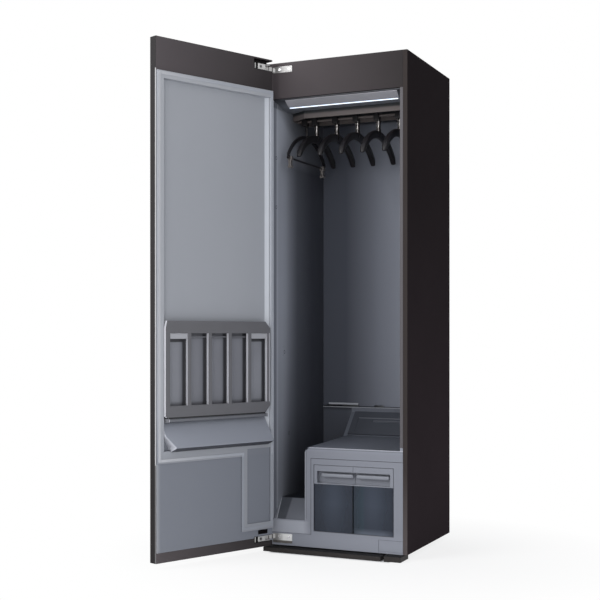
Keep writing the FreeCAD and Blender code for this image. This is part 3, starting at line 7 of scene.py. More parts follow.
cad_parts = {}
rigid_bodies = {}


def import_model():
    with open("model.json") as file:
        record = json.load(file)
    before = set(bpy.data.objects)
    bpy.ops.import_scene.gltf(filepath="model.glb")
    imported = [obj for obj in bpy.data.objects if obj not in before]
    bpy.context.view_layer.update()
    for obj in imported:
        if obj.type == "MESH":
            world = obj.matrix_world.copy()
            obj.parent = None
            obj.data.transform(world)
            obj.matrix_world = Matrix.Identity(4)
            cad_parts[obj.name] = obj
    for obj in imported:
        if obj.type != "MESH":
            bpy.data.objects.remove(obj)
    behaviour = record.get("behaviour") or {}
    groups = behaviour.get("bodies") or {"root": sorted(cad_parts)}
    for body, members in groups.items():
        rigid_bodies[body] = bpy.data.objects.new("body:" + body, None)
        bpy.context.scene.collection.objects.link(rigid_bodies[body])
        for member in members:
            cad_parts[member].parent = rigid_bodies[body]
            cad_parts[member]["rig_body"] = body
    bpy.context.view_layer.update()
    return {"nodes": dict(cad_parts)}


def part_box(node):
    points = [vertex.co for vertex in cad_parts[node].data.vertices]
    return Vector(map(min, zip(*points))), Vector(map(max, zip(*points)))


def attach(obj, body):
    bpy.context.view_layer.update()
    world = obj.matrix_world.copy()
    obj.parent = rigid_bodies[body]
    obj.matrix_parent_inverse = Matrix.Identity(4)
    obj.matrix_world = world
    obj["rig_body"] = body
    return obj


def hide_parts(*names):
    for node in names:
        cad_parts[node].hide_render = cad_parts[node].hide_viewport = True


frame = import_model()

# Sizes are in metres, in the cabinet's own frame: +X right, +Y back, +Z up.

# ---- the door's pivot and how far it stands open ----
DOOR_TURN = math.radians(-112.0)
PIVOT = Vector((-0.283, -0.038, 0.0))
DOOR_LEFT = -0.2965
DOOR_ALONG = Vector((math.cos(DOOR_TURN), math.sin(DOOR_TURN), 0.0))
DOOR_OUT = Vector((-math.sin(DOOR_TURN), math.cos(DOOR_TURN), 0.0))

# ---- camera ----
CAMERA_PLACE = (1.6930, -4.3694, 0.8668)
CAMERA_TURN = math.radians(26.19)
FOCAL_PX = 1185.1
CENTRE_PX = (230.7, 334.6)
FRAME_PX = 600.0
SENSOR = 36.0


def add_camera():
    lens = bpy.data.cameras.new("camera")
    camera = bpy.data.objects.new("camera", lens)
    bpy.context.scene.collection.objects.link(camera)
    camera.location = CAMERA_PLACE
    camera.rotation_euler = (math.pi / 2, 0, CAMERA_TURN)
    lens.sensor_width = SENSOR
    lens.lens = FOCAL_PX / FRAME_PX * SENSOR
    lens.shift_x = (FRAME_PX / 2 - CENTRE_PX[0]) / FRAME_PX
    lens.shift_y = (CENTRE_PX[1] - FRAME_PX / 2) / FRAME_PX
    lens.clip_end = 100
    bpy.context.scene.camera = camera


# ---- material maths ----
PLAIN = (1.0, 1.0, 1.0)
UPRIGHT = (1.0, 1.0, 0.35)
GRAIN_STRENGTH = 0.4
LEATHER_DEPTH = 0.00005
THIN_DEPTH = 0.00003
FINE_DEPTH = 0.00004


class Value:
    """A shader socket that takes part in Python expressions."""

    def __init__(self, nodes, socket):
        self.nodes = nodes
        self.socket = socket

    def math(self, operation, *others, swap=False, clamp=False):
        node = self.nodes.tree.nodes.new("ShaderNodeMath")
        node.operation = operation
        node.use_clamp = clamp
        terms = [self, *others]
        if swap:
            terms.reverse()
        for place, term in enumerate(terms):
            self.nodes.feed(node.inputs[place], term)
        return Value(self.nodes, node.outputs[0])

    def __add__(self, other):
        return self.math("ADD", other)

    __radd__ = __add__

    def __sub__(self, other):
        return self.math("SUBTRACT", other)

    def __rsub__(self, other):
        return self.math("SUBTRACT", other, swap=True)

    def __mul__(self, other):
        return self.math("MULTIPLY", other)

    def __pow__(self, other):
        return self.math("POWER", other)

    def clamped(self):
        return self.math("ADD", 0.0, clamp=True)

    def size(self):
        return self.math("ABSOLUTE")


class Nodes:
    """A node tree whose nodes are added by short calls."""

    def __init__(self, tree):
        self.tree = tree

    def feed(self, socket, value):
        if isinstance(value, Value):
            self.tree.links.new(value.socket, socket)
        else:
            socket.default_value = value

    def node(self, kind, output=0, settings=None, **inputs):
        """Adds a node: its settings first, then values or links by socket name."""
        node = self.tree.nodes.new("ShaderNode" + kind)
        for name, value in (settings or {}).items():
            setattr(node, name, value)
        for name, value in inputs.items():
            self.feed(node.inputs[name.replace("_", " ")], value)
        return Value(self, node.outputs[output])

    def seen_directly(self):
        """1 for camera, mirror and see-through rays, 0 for light that falls on the object."""
        path = self.node("LightPath").socket.node
        camera, mirror, clear = (Value(self, path.outputs[name]) for name in
                                 ("Is Camera Ray", "Is Glossy Ray", "Is Transmission Ray"))
        return (camera + mirror + clear).math("MINIMUM", 1.0)

    def fade_to(self, factor, own, white, end):
        """Mixes white into a shader by a factor and sends it to the end of the tree."""
        mix = self.tree.nodes.new("ShaderNodeMixShader")
        self.feed(mix.inputs[0], factor)
        self.tree.links.new(own, mix.inputs[1])
        self.tree.links.new(white.socket, mix.inputs[2])
        self.tree.links.new(mix.outputs[0], self.tree.nodes[end].inputs["Surface"])


class Finish(Nodes):
    """One material, built on a Principled shader."""

    def __init__(self, name):
        self.material = bpy.data.materials.new(name)
        self.material.use_nodes = True
        super().__init__(self.material.node_tree)
        self.shader = self.tree.nodes["Principled BSDF"]
        self.colour = None

    def set(self, **inputs):
        for name, value in inputs.items():
            self.feed(self.shader.inputs[name.replace("_", " ")], value)

    def place(self, stretch=PLAIN):
        """Where a point lies on the piece, stretched along each axis."""
        where = self.node("TexCoord", output="Object")
        if stretch == PLAIN:
            return where
        return self.node("Mapping", Vector=where, Scale=stretch)

    def axes(self):
        """X, Y and Z of the piece, each as a Value."""
        split = self.node("SeparateXYZ", Vector=self.place())
        return [Value(self, out) for out in split.socket.node.outputs]

    def door_axes(self):
        """Along the door from its hinge edge, through it to the chamber side, and up."""
        x, y, z = self.axes()
        from_x, from_y = x - PIVOT.x, y - PIVOT.y
        along = from_x * DOOR_ALONG.x + from_y * DOOR_ALONG.y + (PIVOT.x - DOOR_LEFT)
        through = from_x * DOOR_OUT.x + from_y * DOOR_OUT.y + PIVOT.y
        return along, through, z

    def marked(self, name):
        """Share of a face mark that was painted on the piece when it was made."""
        return self.node("Attribute", output="Fac", settings={"attribute_name": name})

    def noise(self, scale, detail=2.0, rough=0.5, stretch=PLAIN):
        return self.node("TexNoise", Vector=self.place(stretch), Scale=scale, Detail=detail,
                         Roughness=rough)

    def span(self, value, low, high, out_low=0.0, out_high=1.0):
        """Maps low..high to out_low..out_high and clamps it."""
        return self.node("MapRange", Value=value, From_Min=low, From_Max=high, To_Min=out_low,
                         To_Max=out_high)

    def flow_marks(self, low=0.0, high=1.0):
        """Faint upright flow marks of a moulded sheet."""
        return self.span(self.noise(2.2, detail=3.0, stretch=UPRIGHT), 0.3, 0.7, low, high)

    def fall(self, value, low, high):
        """1 below low and 0 above high."""
        return self.span(value, low, high, 1.0, 0.0)

    def between(self, value, low, high, soft=0.0005):
        """1 between low and high and 0 outside, with a soft edge."""
        return self.span(value, low - soft, low) * self.fall(value, high, high + soft)

    def line(self, value, at, half=0.0008, soft=0.0006):
        """1 on a thin line where the value reaches a mark."""
        return self.fall((value - at).size(), half, half + soft)

    def blend(self, factor, first, second, kind="MIX"):
        node = self.tree.nodes.new("ShaderNodeMix")
        node.data_type = "RGBA"
        node.blend_type = kind
        self.feed(node.inputs["Factor"], factor)
        for place, colour in ((6, first), (7, second)):
            self.feed(node.inputs[place], colour)
        return Value(self, node.outputs[2])

    def shades(self, factor, colour, low, high):
        """One colour, from its low to its high share."""
        return self.blend(factor, scaled(colour, low), scaled(colour, high))

    def coat(self, factor, colour):
        """Lays another colour over this finish's own, by a share of 0 to 1."""
        self.colour = self.blend(factor, self.colour, colour)

    def bump(self, height, distance, strength=1.0):
        self.set(Normal=self.node("Bump", Height=height, Distance=distance, Strength=strength))

    def done(self, rough, grain=None, depth=FINE_DEPTH, strength=GRAIN_STRENGTH,
             specular=0.5, metallic=0.0):
        """Sets the colour, gloss and grain, and gives back the material."""
        self.set(Base_Color=self.colour, Roughness=rough, Specular_IOR_Level=specular,
                 Metallic=metallic)
        if grain:
            self.bump(grain, depth, strength)
        return self.material

    def leather(self, rough, specular, smudge=14.0, pits=1400.0, fine=460.0):
        """Ends a moulded plastic: leather-like grain, and smudges in its gloss."""
        smear = self.noise(smudge, detail=4.0, rough=0.65)
        cells = self.node("TexVoronoi", Vector=self.place(), Scale=pits)
        return self.done(rough + (smear - 0.5) * 0.16, cells + self.noise(fine), LEATHER_DEPTH,
                         specular=specular)


# ---- modelling limits ----
MERGE = 0.00001
FLAT = math.radians(0.5)
CORNER = math.radians(28.0)
SMOOTH = math.radians(40.0)

# ---- trouser press on the door, measured from the door's hinge edge ----
SLOT_FIRST = 0.048
SLOT_WIDTH = 0.0845
SLOT_PITCH = 0.1021

# ---- front frame, tank bay, deep well and outlets ----
COVER_X = -0.127
COVER_TOP = 0.419
FRAME_X = -0.1007
FRAME_TOP_Z = 0.375
FRAME_LOW_Z = 0.072
BAY = (-0.088, 0.242, 0.087, 0.350)
WELL_LEFT = -0.2677
SERVICE_LEFT = 0.182
WALL_PLUGS = ((0.121, 0.795), (0.168, 0.457), (0.038, 1.585), (0.038, 1.385))
WELL_FOLD_X = -0.214
OUTLET_Z = 0.5453
FILTER_FOOT = (0.435, 0.433)
FILTER_SLOPE = (0.7250, 0.6888)

# ---- door hinges ----
HINGES = ((1.920, 1.945), (0.044, 0.067))
UPPER_HINGE_MIDDLE = 1.9325
LOWER_HINGE_MIDDLE = 0.0555
SCREW_ALONG = 0.062
LINK_DEEP = -0.028
LINK_FACE = -0.0118

# ---- water tanks ----
TANK_SPLIT = 0.077
TANK_HALF = 0.0815

# ---- studio ----
FLOOR_RADIUS = 30.0
FLOOR_CLEAR = 0.35
FLOOR_WHITE = 1.1
FLOOR_SHOWN = 0.8
WORLD_COLOUR = (0.93, 0.95, 1.0, 1.0)
WORLD_LIGHT = 0.55
LAMP_TARGET = (-0.1, 0.1, 0.95)
LAMPS = (
    ("key_front_left", (-2.6, -3.6, 3.0), 2.6, 150.0),
    ("fill_front", (1.2, -4.6, 1.6), 3.0, 50.0),
)


def tone(red, green, blue):
    """Linear colour from the 0 to 255 values that a paint card would give."""
    def linear(value):
        share = value / 255
        return share / 12.92 if share <= 0.04045 else ((share + 0.055) / 1.055) ** 2.4
    return (linear(red), linear(green), linear(blue), 1.0)


def scaled(colour, factor):
    return (*(min(1.0, part * factor) for part in colour[:3]), 1.0)



# ---- paint and moulding colours ----
# CASING_LOW to CASING_HIGH: painted shade, the side darker towards the top.
CASING_HIGH = tone(36, 31, 33)
CASING_LOW = tone(50, 43, 46)
CASING_FRONT = tone(60, 55, 54)
CASING_FOOT = tone(92, 86, 86)
# FASCIA_LEFT to FASCIA_RIGHT: painted light, lit at the left and shaded at the right.
FASCIA_LEFT = tone(80, 74, 76)
FASCIA_RIGHT = tone(44, 40, 41)
# DOOR_HINGE_SIDE to DOOR_FREE_SIDE: painted light, shaded by the hinge and lit towards the free
# side.
DOOR_HINGE_SIDE = tone(60, 56, 57)
DOOR_FREE_SIDE = tone(94, 88, 90)
DOOR_EDGE = tone(40, 38, 39)
# CHAMBER_FRONT to CHAMBER_DEEP: painted shade, lit at the front and darker towards the back.
CHAMBER_FRONT = tone(176, 180, 190)
CHAMBER_DEEP = tone(86, 89, 97)
CHAMBER_FLANGE = tone(84, 81, 84)
WALL_SHADE = tone(60, 62, 70)
FRONT_COLOUR = tone(126, 129, 138)
COVER_COLOUR = tone(112, 116, 126)
DUCT_COLOUR = tone(97, 90, 88)
LAMP_COLOUR = tone(177, 176, 181)
PRESS_COLOUR = tone(104, 104, 108)
TRAY_COLOUR = tone(151, 155, 165)


# ---- finishes ----

def orange_peel(paint, colour, rough, specular):
    """Powder coat: fine orange peel, cloudy gloss and rubbed patches over a colour."""
    cloud = paint.noise(3.0, detail=3.0)
    patch = paint.noise(22.0, detail=4.0, rough=0.6)
    shade = paint.span(cloud, 0.35, 0.65, 0.93, 1.0)
    grey = paint.node("CombineColor", Red=shade, Green=shade, Blue=shade)
    paint.colour = paint.blend(1.0, colour, grey, "MULTIPLY")
    peel = paint.noise(900.0, detail=1.0) + paint.noise(240.0) * 1.5
    return paint.done(rough + (patch - 0.5) * 0.12 + (cloud - 0.5) * 0.06, peel, THIN_DEPTH,
                      0.35, specular=specular)


def casing_paint():
    """Dark outer steel whose front flange catches more light than its side."""
    paint = Finish("casing_satin_paint")
    flange = paint.fall(paint.axes()[1], 0.0006, 0.0014)
    # Painted shade: the side darker towards the top; the front flange paler towards the foot.
    side = paint.blend(paint.span(paint.axes()[2], 0.3, 1.5), CASING_LOW, CASING_HIGH)
    front = paint.blend(paint.span(paint.axes()[2], 0.0, 0.35), CASING_FOOT, CASING_FRONT)
    return orange_peel(paint, paint.blend(flange, side, front), 0.60, 0.002)


def fascia_paint():
    paint = Finish("fascia_satin_paint")
    # Painted light: the fascia lit at its left and shaded towards its right.
    across = paint.span(paint.axes()[0], -0.28, 0.28)
    return orange_peel(paint, paint.blend(across, FASCIA_LEFT, FASCIA_RIGHT), 0.50, 0.10)


def door_paint():
    """Door steel: dark on its free edge, with a painted highlight along the corner."""
    paint = Finish("door_satin_paint")
    along, through, height = paint.door_axes()
    edge = paint.span(along, 0.5922, 0.5927)
    # Painted highlight along the corner of the free edge.
    corner = paint.span(through, -0.0156, -0.0148) * paint.span(along, 0.5910, 0.5916)
    corner = corner * paint.fall(height, 1.847, 1.849)
    corner = corner * paint.span(height, 0.383, 0.387, 0.3, 1.0)
    # Painted light: darker by the hinge, paler towards the free side.
    paint.colour = paint.blend(paint.span(along, 0.05, 0.59), DOOR_HINGE_SIDE, DOOR_FREE_SIDE)
    low = paint.fall(height, 0.3, 0.9)
    paint.coat(edge, paint.blend(low, DOOR_EDGE, tone(30, 28, 29)))
    return orange_peel(paint, paint.blend(corner, paint.colour, tone(178, 177, 178)), 0.48, 0.12)


def moulded_plastic(name, colour, rough):
    """Moulded sheet plastic with a fine leather-like grain and faint flow marks."""
    plastic = Finish(name)
    plastic.colour = plastic.shades(plastic.flow_marks(), colour, 0.95, 1.05)
    return plastic.leather(rough, 0.4, fine=1400.0 / 3)


def chamber_plastic():
    """Liner plastic with painted light and shade: lit near the door, in painted shade at the left
    of the back wall and in the well.
    """
    plastic = Finish("chamber_liner_plastic")
    x, y, z = plastic.axes()
    # Painted shade: darker towards the back, and on the back wall darker at its left.
    back = plastic.blend(plastic.span(x, -0.16, 0.10), tone(76, 79, 89), tone(152, 156, 167))
    plastic.colour = plastic.blend(plastic.span(y, 0.10, 0.42), CHAMBER_FRONT, CHAMBER_DEEP)
    plastic.coat(plastic.span(y, 0.544, 0.547), back)
    # Painted highlights on the rib and hood over the outlets; painted shadow below the rib and in
    # the outlet slot.
    on_rib = plastic.between(z, OUTLET_Z, OUTLET_Z + 0.0037) * plastic.span(y, 0.5455, 0.5459)
    on_rib = on_rib * plastic.fall(y, 0.5500, 0.5510)
    on_hood = plastic.between(z, 0.5578, 0.5662) * plastic.between(y, 0.5476, 0.5500, 0.0003)
    plastic.coat((on_rib * 0.8 + on_hood).clamped(), tone(186, 189, 196))
    below_rib = plastic.span(z, OUTLET_Z - 0.016, OUTLET_Z) * plastic.span(y, 0.550, 0.551)
    below_rib = below_rib * plastic.fall(z, OUTLET_Z, OUTLET_Z + 0.0003)
    in_outlet = plastic.between(z, OUTLET_Z + 0.0040, OUTLET_Z + 0.0075)
    in_outlet = in_outlet * plastic.span(y, 0.550, 0.551)
    plastic.coat((below_rib + in_outlet).clamped() * 0.85, tone(30, 31, 38))
    # Painted shade in the well.
    well = plastic.fall(z, 0.20, 0.55) * plastic.span(y, 0.08, 0.3)
    plastic.coat(well * 0.6, tone(52, 54, 60))
    # Painted shade on the front of the ceiling, darkest at the left.
    ceiling_shade = plastic.span(z, 1.783, 1.789) * plastic.span(y, 0.02, 0.09, 1.0, 0.6)
    plastic.coat(ceiling_shade * 0.95, plastic.blend(plastic.span(x, -0.26, -0.05), tone(22, 23, 28),
                                           tone(48, 48, 52)))
    # Left wall: painted highlights on its front edge and a lip, a painted shadow line behind the
    # front edge, painted shade deep in, low down and by the lamp, and painted light near the top.
    left = plastic.fall(x, -0.266, -0.264) * plastic.span(z, 0.075, 0.080)
    collar_highlight = plastic.fall(y, 0.010, 0.013) * left
    seam_shadow = plastic.between(y, 0.015, 0.036, 0.004) * left
    lip = plastic.between(y, 0.045, 0.055, 0.003) * left
    deep = left * plastic.span(y, 0.135, 0.26)
    plastic.coat(deep * 0.65, WALL_SHADE)
    low = left * plastic.fall(z, 0.40, 1.0)
    plastic.coat(low * (plastic.span(y, 0.10, 0.18) * 0.28 + 0.3), WALL_SHADE)
    plastic.coat(collar_highlight, tone(238, 242, 248))
    plastic.coat(seam_shadow * 0.75, tone(126, 129, 139))
    plastic.coat(lip * 0.35, tone(214, 218, 226))
    corner = left * plastic.span(z, 1.56, 1.62) * plastic.span(y, 0.02, 0.06)
    plastic.coat(corner * 0.2, tone(240, 244, 252))
    by_lamp = left * plastic.span(z + y * 0.67, 1.807, 1.867)
    plastic.coat(by_lamp * 0.45, WALL_SHADE)
    for plug_y, plug_z in WALL_PLUGS:
        reach = ((y - plug_y) ** 2.0 + (z - plug_z) ** 2.0) ** 0.5
        plastic.coat(plastic.line(reach, 0.0065, 0.0012) * left * 0.8, tone(70, 72, 80))
    flange = plastic.fall(y, 0.0006, 0.0030) * plastic.span(x, 0.2620, 0.2640)
    plastic.coat(flange, CHAMBER_FLANGE)
    plastic.coat(plastic.flow_marks(0.0, 0.12), tone(84, 87, 95))
    return plastic.leather(0.5, 0.25)


def front_plastic():
    """Front panels, with the shadow gaps between them and a lit lip along the frame."""
    plastic = Finish("front_trim_plastic")
    x, _, z = plastic.axes()
    plastic.colour = plastic.shades(plastic.flow_marks(), FRONT_COLOUR, 0.95, 1.05)
    # Painted light over the top 20 mm.
    plastic.coat(plastic.span(z, 0.40, 0.42), scaled(FRONT_COLOUR, 1.15))
    plastic.coat(plastic.fall(z, 0.025, 0.110), scaled(FRONT_COLOUR, 1.34))
    right_of_seam = plastic.span(x, FRAME_X - 0.001, FRAME_X)
    left_of_seam = plastic.fall(x, FRAME_X, FRAME_X + 0.001)
    above = plastic.span(z, FRAME_LOW_Z - 0.001, FRAME_LOW_Z)
    below = plastic.fall(z, FRAME_TOP_Z, FRAME_TOP_Z + 0.001)
    seams = (plastic.line(z, FRAME_TOP_Z) * right_of_seam
             + plastic.line(x, FRAME_X) * above * below
             + plastic.line(z, FRAME_LOW_Z) * left_of_seam * 0.6)
    in_x = plastic.between(x, BAY[0] - 0.001, BAY[1] + 0.001)
    in_z = plastic.between(z, BAY[2] - 0.001, BAY[3] + 0.001)
    bay = ((plastic.line(x, BAY[0], 0.0011) + plastic.line(x, BAY[1], 0.0011)) * in_z
           + (plastic.line(z, BAY[2], 0.0014) + plastic.line(z, BAY[3], 0.0011)) * in_x)
    # Painted highlights on the lip and the side lip, with painted shadow a few millimetres inside
    # each.
    lip = plastic.span(z, COVER_TOP - 0.0030, COVER_TOP - 0.0022) * plastic.fall(z, 0.42, 0.4204)
    lip_shade = plastic.line(z, COVER_TOP - 0.0062, 0.0010)
    side_lip = plastic.between(x, COVER_X - 0.001, COVER_X + 0.0022)
    side_lip = side_lip * plastic.span(z, 0.126, 0.130)
    side_shade = plastic.span(z, 0.130, 0.134) * plastic.line(x, COVER_X + 0.0062, 0.0010)
    over_cover = plastic.span(x, COVER_X, COVER_X + 0.004)
    panel_side = plastic.fall(z, FRAME_LOW_Z, FRAME_LOW_Z + 0.001)
    panel_top = plastic.span(x, SERVICE_LEFT - 0.001, SERVICE_LEFT)
    panel_seam = (plastic.line(x, SERVICE_LEFT) * panel_side
                  + plastic.line(z, FRAME_LOW_Z) * panel_top).clamped()
    plastic.coat(panel_seam * 0.5, tone(84, 87, 95))
    plastic.coat((lip * over_cover + side_lip).clamped() * 0.8, tone(168, 170, 178))
    sill = plastic.fall(z, 0.118, 0.128) * plastic.fall(x, -0.135, -0.105)
    sill = sill * above
    plastic.coat(sill * 0.6, tone(176, 179, 188))
    plastic.coat(((lip_shade * over_cover) + side_shade).clamped() * 0.5, tone(70, 72, 80))
    plastic.coat((seams + bay).clamped() * 0.75, tone(48, 50, 58))
    return plastic.leather(0.42, 0.35)


def cover_plastic():
    """Top of the machine cover, in painted shade towards its right front corner."""
    plastic = Finish("machine_cover_plastic")
    x, y, _ = plastic.axes()
    flow = plastic.noise(2.2, detail=3.0)
    plastic.colour = plastic.shades(flow, COVER_COLOUR, 0.93, 1.03)
    dim = plastic.span(x, 0.02, 0.20) * plastic.span(y, 0.05, 0.40, 1.0, 0.6)
    plastic.coat(dim * 0.58, scaled(COVER_COLOUR, 0.25))
    return plastic.done(0.46 + flow * 0.1, plastic.noise(1100.0), specular=0.35)


def filter_plastic():
    """Lint filter: framed mesh in the shade of the rear wall, with a lit pull."""
    plastic = Finish("lint_filter_plastic")
    x, y, z = plastic.axes()
    flow = plastic.noise(5.0, detail=3.0)
    plastic.colour = plastic.shades(flow, COVER_COLOUR, 0.47, 0.58)
    climb = (y - FILTER_FOOT[0]) * FILTER_SLOPE[0] + (z - FILTER_FOOT[1]) * FILTER_SLOPE[1]
    pull = plastic.between(climb, 0.0755, 0.0835) * plastic.span(x, -0.011, -0.009)
    # Painted highlight along an edge across the filter.
    edge = plastic.line(climb, 0.0975, 0.0012) * plastic.span(x, -0.083, -0.08)
    plastic.coat(pull, tone(106, 109, 117))
    plastic.coat(edge * 0.4, tone(170, 173, 182))
    return plastic.done(0.5 + flow * 0.1, plastic.noise(1100.0), specular=0.2)


def well_plastic():
    """Floor of the deep well: a lit ramp with painted shade on a fold, a painted highlight along
    its rim by the wall, and a shelf behind it in painted shadow.
    """
    plastic = Finish("well_floor_plastic")
    x, _, z = plastic.axes()
    flow = plastic.noise(6.0, detail=3.0)
    ramp = plastic.blend(flow, tone(110, 113, 121), tone(122, 125, 133))
    climb = plastic.span(z, 0.126, 0.201)
    fold_x = climb * -0.006 + WELL_FOLD_X
    fold = plastic.fall(x - fold_x, -0.003, 0.003)
    rim_x = climb * -0.015 + (WELL_LEFT + 0.015)
    plastic.colour = plastic.blend(fold, ramp, tone(80, 83, 90))
    plastic.coat(plastic.fall(x - rim_x, -0.001, 0.001) * 0.7, tone(140, 143, 151))
    plastic.coat(plastic.line(x, rim_x, 0.0016) * 0.9, tone(176, 179, 186))
    plastic.coat(plastic.span(z, 0.1995, 0.2007), tone(36, 38, 45))
    return plastic.done(0.5 + flow * 0.1, plastic.noise(1200.0), specular=0.25)


def plinth_plastic():
    """Black plinth parts: dusty grey fronts, tops in painted shadow."""
    plastic = Finish("plinth_black_plastic")
    dust = plastic.noise(30.0, detail=4.0)
    plastic.colour = plastic.blend(dust, tone(44, 41, 41), tone(56, 53, 52))
    # Painted shadow: the upward faces near-black.
    plastic.coat(plastic.marked("top"), tone(14, 12, 12))
    return plastic.done(0.5 + dust * 0.15, plastic.noise(700.0), specular=0.12)


def duct_plastic():
    """Duct face, in shadow where it meets the ceiling."""
    duct = Finish("hanger_duct_plastic")
    grain = duct.noise(1200.0)
    flow = duct.noise(6.0, detail=3.0)
    duct.colour = duct.shades(flow, DUCT_COLOUR, 1.0, 1.3)
    duct.coat(duct.span(duct.axes()[2], 1.774, 1.781), tone(44, 46, 48))
    return duct.done(0.5 + flow * 0.12, grain, specular=0.25)


def press_plastic():
    """Rack bars: dark satin faces, sides that catch the light, a painted highlight on a frame edge
    and painted shadow along the bottom.
    """
    rack = Finish("press_bar_plastic")
    brushed = rack.noise(700.0, stretch=(1.0, 1.0, 0.04))
    cloud = rack.noise(5.0, detail=3.0)
    along, _, height = rack.door_axes()
    frame_side = rack.span(along, 0.555, 0.558)
    barrel = rack.fall(height, 0.5552, 0.5557)
    frame_line = rack.between(along, 0.0335, 0.0370) * rack.span(height, 0.600, 0.603)
    lit = rack.blend(frame_side, tone(206, 206, 212), tone(198, 198, 203))
    rack.colour = rack.shades(cloud, PRESS_COLOUR, 0.86, 1.12)
    # Painted shadow along the bottom, above the barrel.
    rack.coat(rack.fall(height, 0.560, 0.5605), tone(30, 30, 33))
    rack.coat(barrel, tone(112, 114, 120))
    # Painted highlight on an edge of the frame.
    rack.coat(frame_line * rack.fall(height, 0.872, 0.875), tone(190, 190, 196))
    rack.coat(rack.marked("flank"), lit)
    return rack.done(0.34 + brushed * 0.14, brushed, THIN_DEPTH, specular=0.4)


def press_backing():
    """Ironing plate, shaded where the bars stand over it."""
    plate = Finish("press_back_plastic")
    along, through, height = plate.door_axes()
    place = (along + (SLOT_PITCH - SLOT_FIRST)).math("MODULO", SLOT_PITCH)
    bar = plate.span(place, SLOT_WIDTH - 0.001, SLOT_WIDTH + 0.005)
    lee = plate.fall(place, 0.001, 0.008)
    ends = plate.fall(height, 0.606, 0.616) + plate.span(height, 0.846, 0.868)
    outer = plate.fall(along, 0.139, 0.141) + plate.span(along, 0.452, 0.454)
    latch = plate.between(height, 0.840, 0.852, 0.002) * outer
    shade = (bar + lee + ends * 0.6 + latch).clamped() * plate.fall(through, -0.0175, -0.0170)
    rub = plate.noise(9.0, detail=3.0)
    plate.colour = plate.blend(rub, tone(130, 132, 139), tone(146, 148, 155))
    plate.coat(plate.span(through, -0.0135, -0.0130), tone(129, 130, 135))
    plate.coat(plate.between(along, 0.14, 0.46, 0.02) * 0.45, tone(104, 105, 113))
    plate.coat(shade * 0.9, tone(44, 44, 48))
    return plate.done(0.5 + rub * 0.1, plate.noise(900.0))


def tray_plastic():
    """Drip tray: pale on top, with a painted highlight on its end and painted shade on the
    underside of its lip.
    """
    tray = Finish("drip_tray_plastic")
    flow = tray.noise(4.0, detail=3.0)
    tray.colour = tray.shades(flow, TRAY_COLOUR, 0.94, 1.05)
    # Painted highlight on the end facing the free edge; painted shade underneath.
    tray.coat(tray.marked("end"), tone(190, 192, 199))
    tray.coat(tray.marked("underside"), tone(58, 60, 68))
    return tray.done(0.44 + tray.noise(20.0, detail=4.0) * 0.12, tray.noise(900.0), specular=0.4)


def liner_colour(plastic):
    """Blue-grey of the door's inside: pale above, darker on the lower panels."""
    height = plastic.axes()[2]
    flow = plastic.noise(2.0, detail=3.0, stretch=(1.0, 1.0, 0.3))
    colour = plastic.blend(plastic.span(height, 0.386, 0.60), tone(128, 132, 141),
                           tone(170, 173, 179))
    return plastic.blend(plastic.span(flow, 0.3, 0.7, 0.0, 0.10), colour, tone(136, 140, 150))


def door_liner_plastic():
    """Grained liner with painted light and shade on its walls: lit near the hinge edge, darker
    elsewhere, and a painted shadow in the recess corner.
    """
    plastic = Finish("door_liner_plastic")
    along, through, height = plastic.door_axes()
    rim = plastic.span(through, -0.0042, -0.0034)
    plastic.colour = plastic.blend(rim * 0.35, liner_colour(plastic), tone(196, 198, 202))
    wall = plastic.marked("wall")
    in_recess = plastic.span(height, 0.425, 0.430)
    near_hinge = plastic.fall(along, 0.0160, 0.0170)
    lit = (in_recess + near_hinge).clamped() * plastic.fall(along, 0.040, 0.045)
    # Painted shade on the walls, then painted light on those near the hinge edge.
    plastic.coat(wall * 0.55, tone(92, 95, 104))
    plastic.coat(wall * lit, tone(199, 203, 210))
    # Painted shadow in the recess corner near the free edge.
    corner = plastic.between(along, 0.5562, 0.5600, 0.0008)
    corner = corner * plastic.fall(through, -0.0205, -0.0195)
    plastic.coat(corner * in_recess * 0.8, tone(66, 70, 84))
    pale = plastic.span(along, 0.572, 0.590) * plastic.fall(height, 0.386, 0.390)
    plastic.coat(pale * 0.6, tone(178, 180, 184))
    return plastic.leather(0.48, 0.4, smudge=11.0, pits=1300.0, fine=420.0)


def brushed_steel():
    """Bright stamped steel: painted shade on a fold beside the plate, the upper hinge painted
    darker than the lower one, and dark joints in the arm.
    """
    steel = Finish("brushed_hinge_steel")
    x, y, z = steel.axes()
    grain = steel.noise(900.0, stretch=(0.05, 1.0, 1.0))
    smear = steel.noise(60.0, detail=3.0)
    # Painted shade: the upper hinge darker than the lower one.
    upper = steel.blend(smear, tone(164, 163, 162), tone(182, 181, 180))
    lower = steel.blend(smear, tone(222, 222, 221), tone(240, 240, 239))
    steel.colour = steel.blend(steel.span(z, 1.0, 1.01), lower, upper)
    # Painted shade on the fold beside the plate.
    fold = steel.fall(x, -0.244, -0.218)
    steel.coat(fold * 0.85, tone(124, 123, 122))
    # Mottled darker grey below 40 mm.
    darker_bottom = steel.blend(steel.noise(120.0), tone(70, 68, 66), tone(118, 114, 110))
    steel.coat(steel.fall(z, 0.0395, 0.0405), darker_bottom)
    reach = ((x - PIVOT.x) ** 2.0 + (y - PIVOT.y) ** 2.0) ** 0.5
    joint = steel.line(reach, 0.014, 0.0016) + steel.line(reach, 0.031, 0.0020)
    slot = steel.between(x, -0.2600, -0.2520) * steel.line(z, 1.9405, 0.0012)
    arm = steel.fall(y, -0.0045, -0.0035)
    steel.coat(arm, tone(212, 211, 209))
    steel.coat((joint * arm + slot).clamped() * 0.9, tone(22, 21, 22))
    return steel.done(0.36 + grain * 0.14 + (smear - 0.5) * 0.1, grain, 0.00002, metallic=0.3)


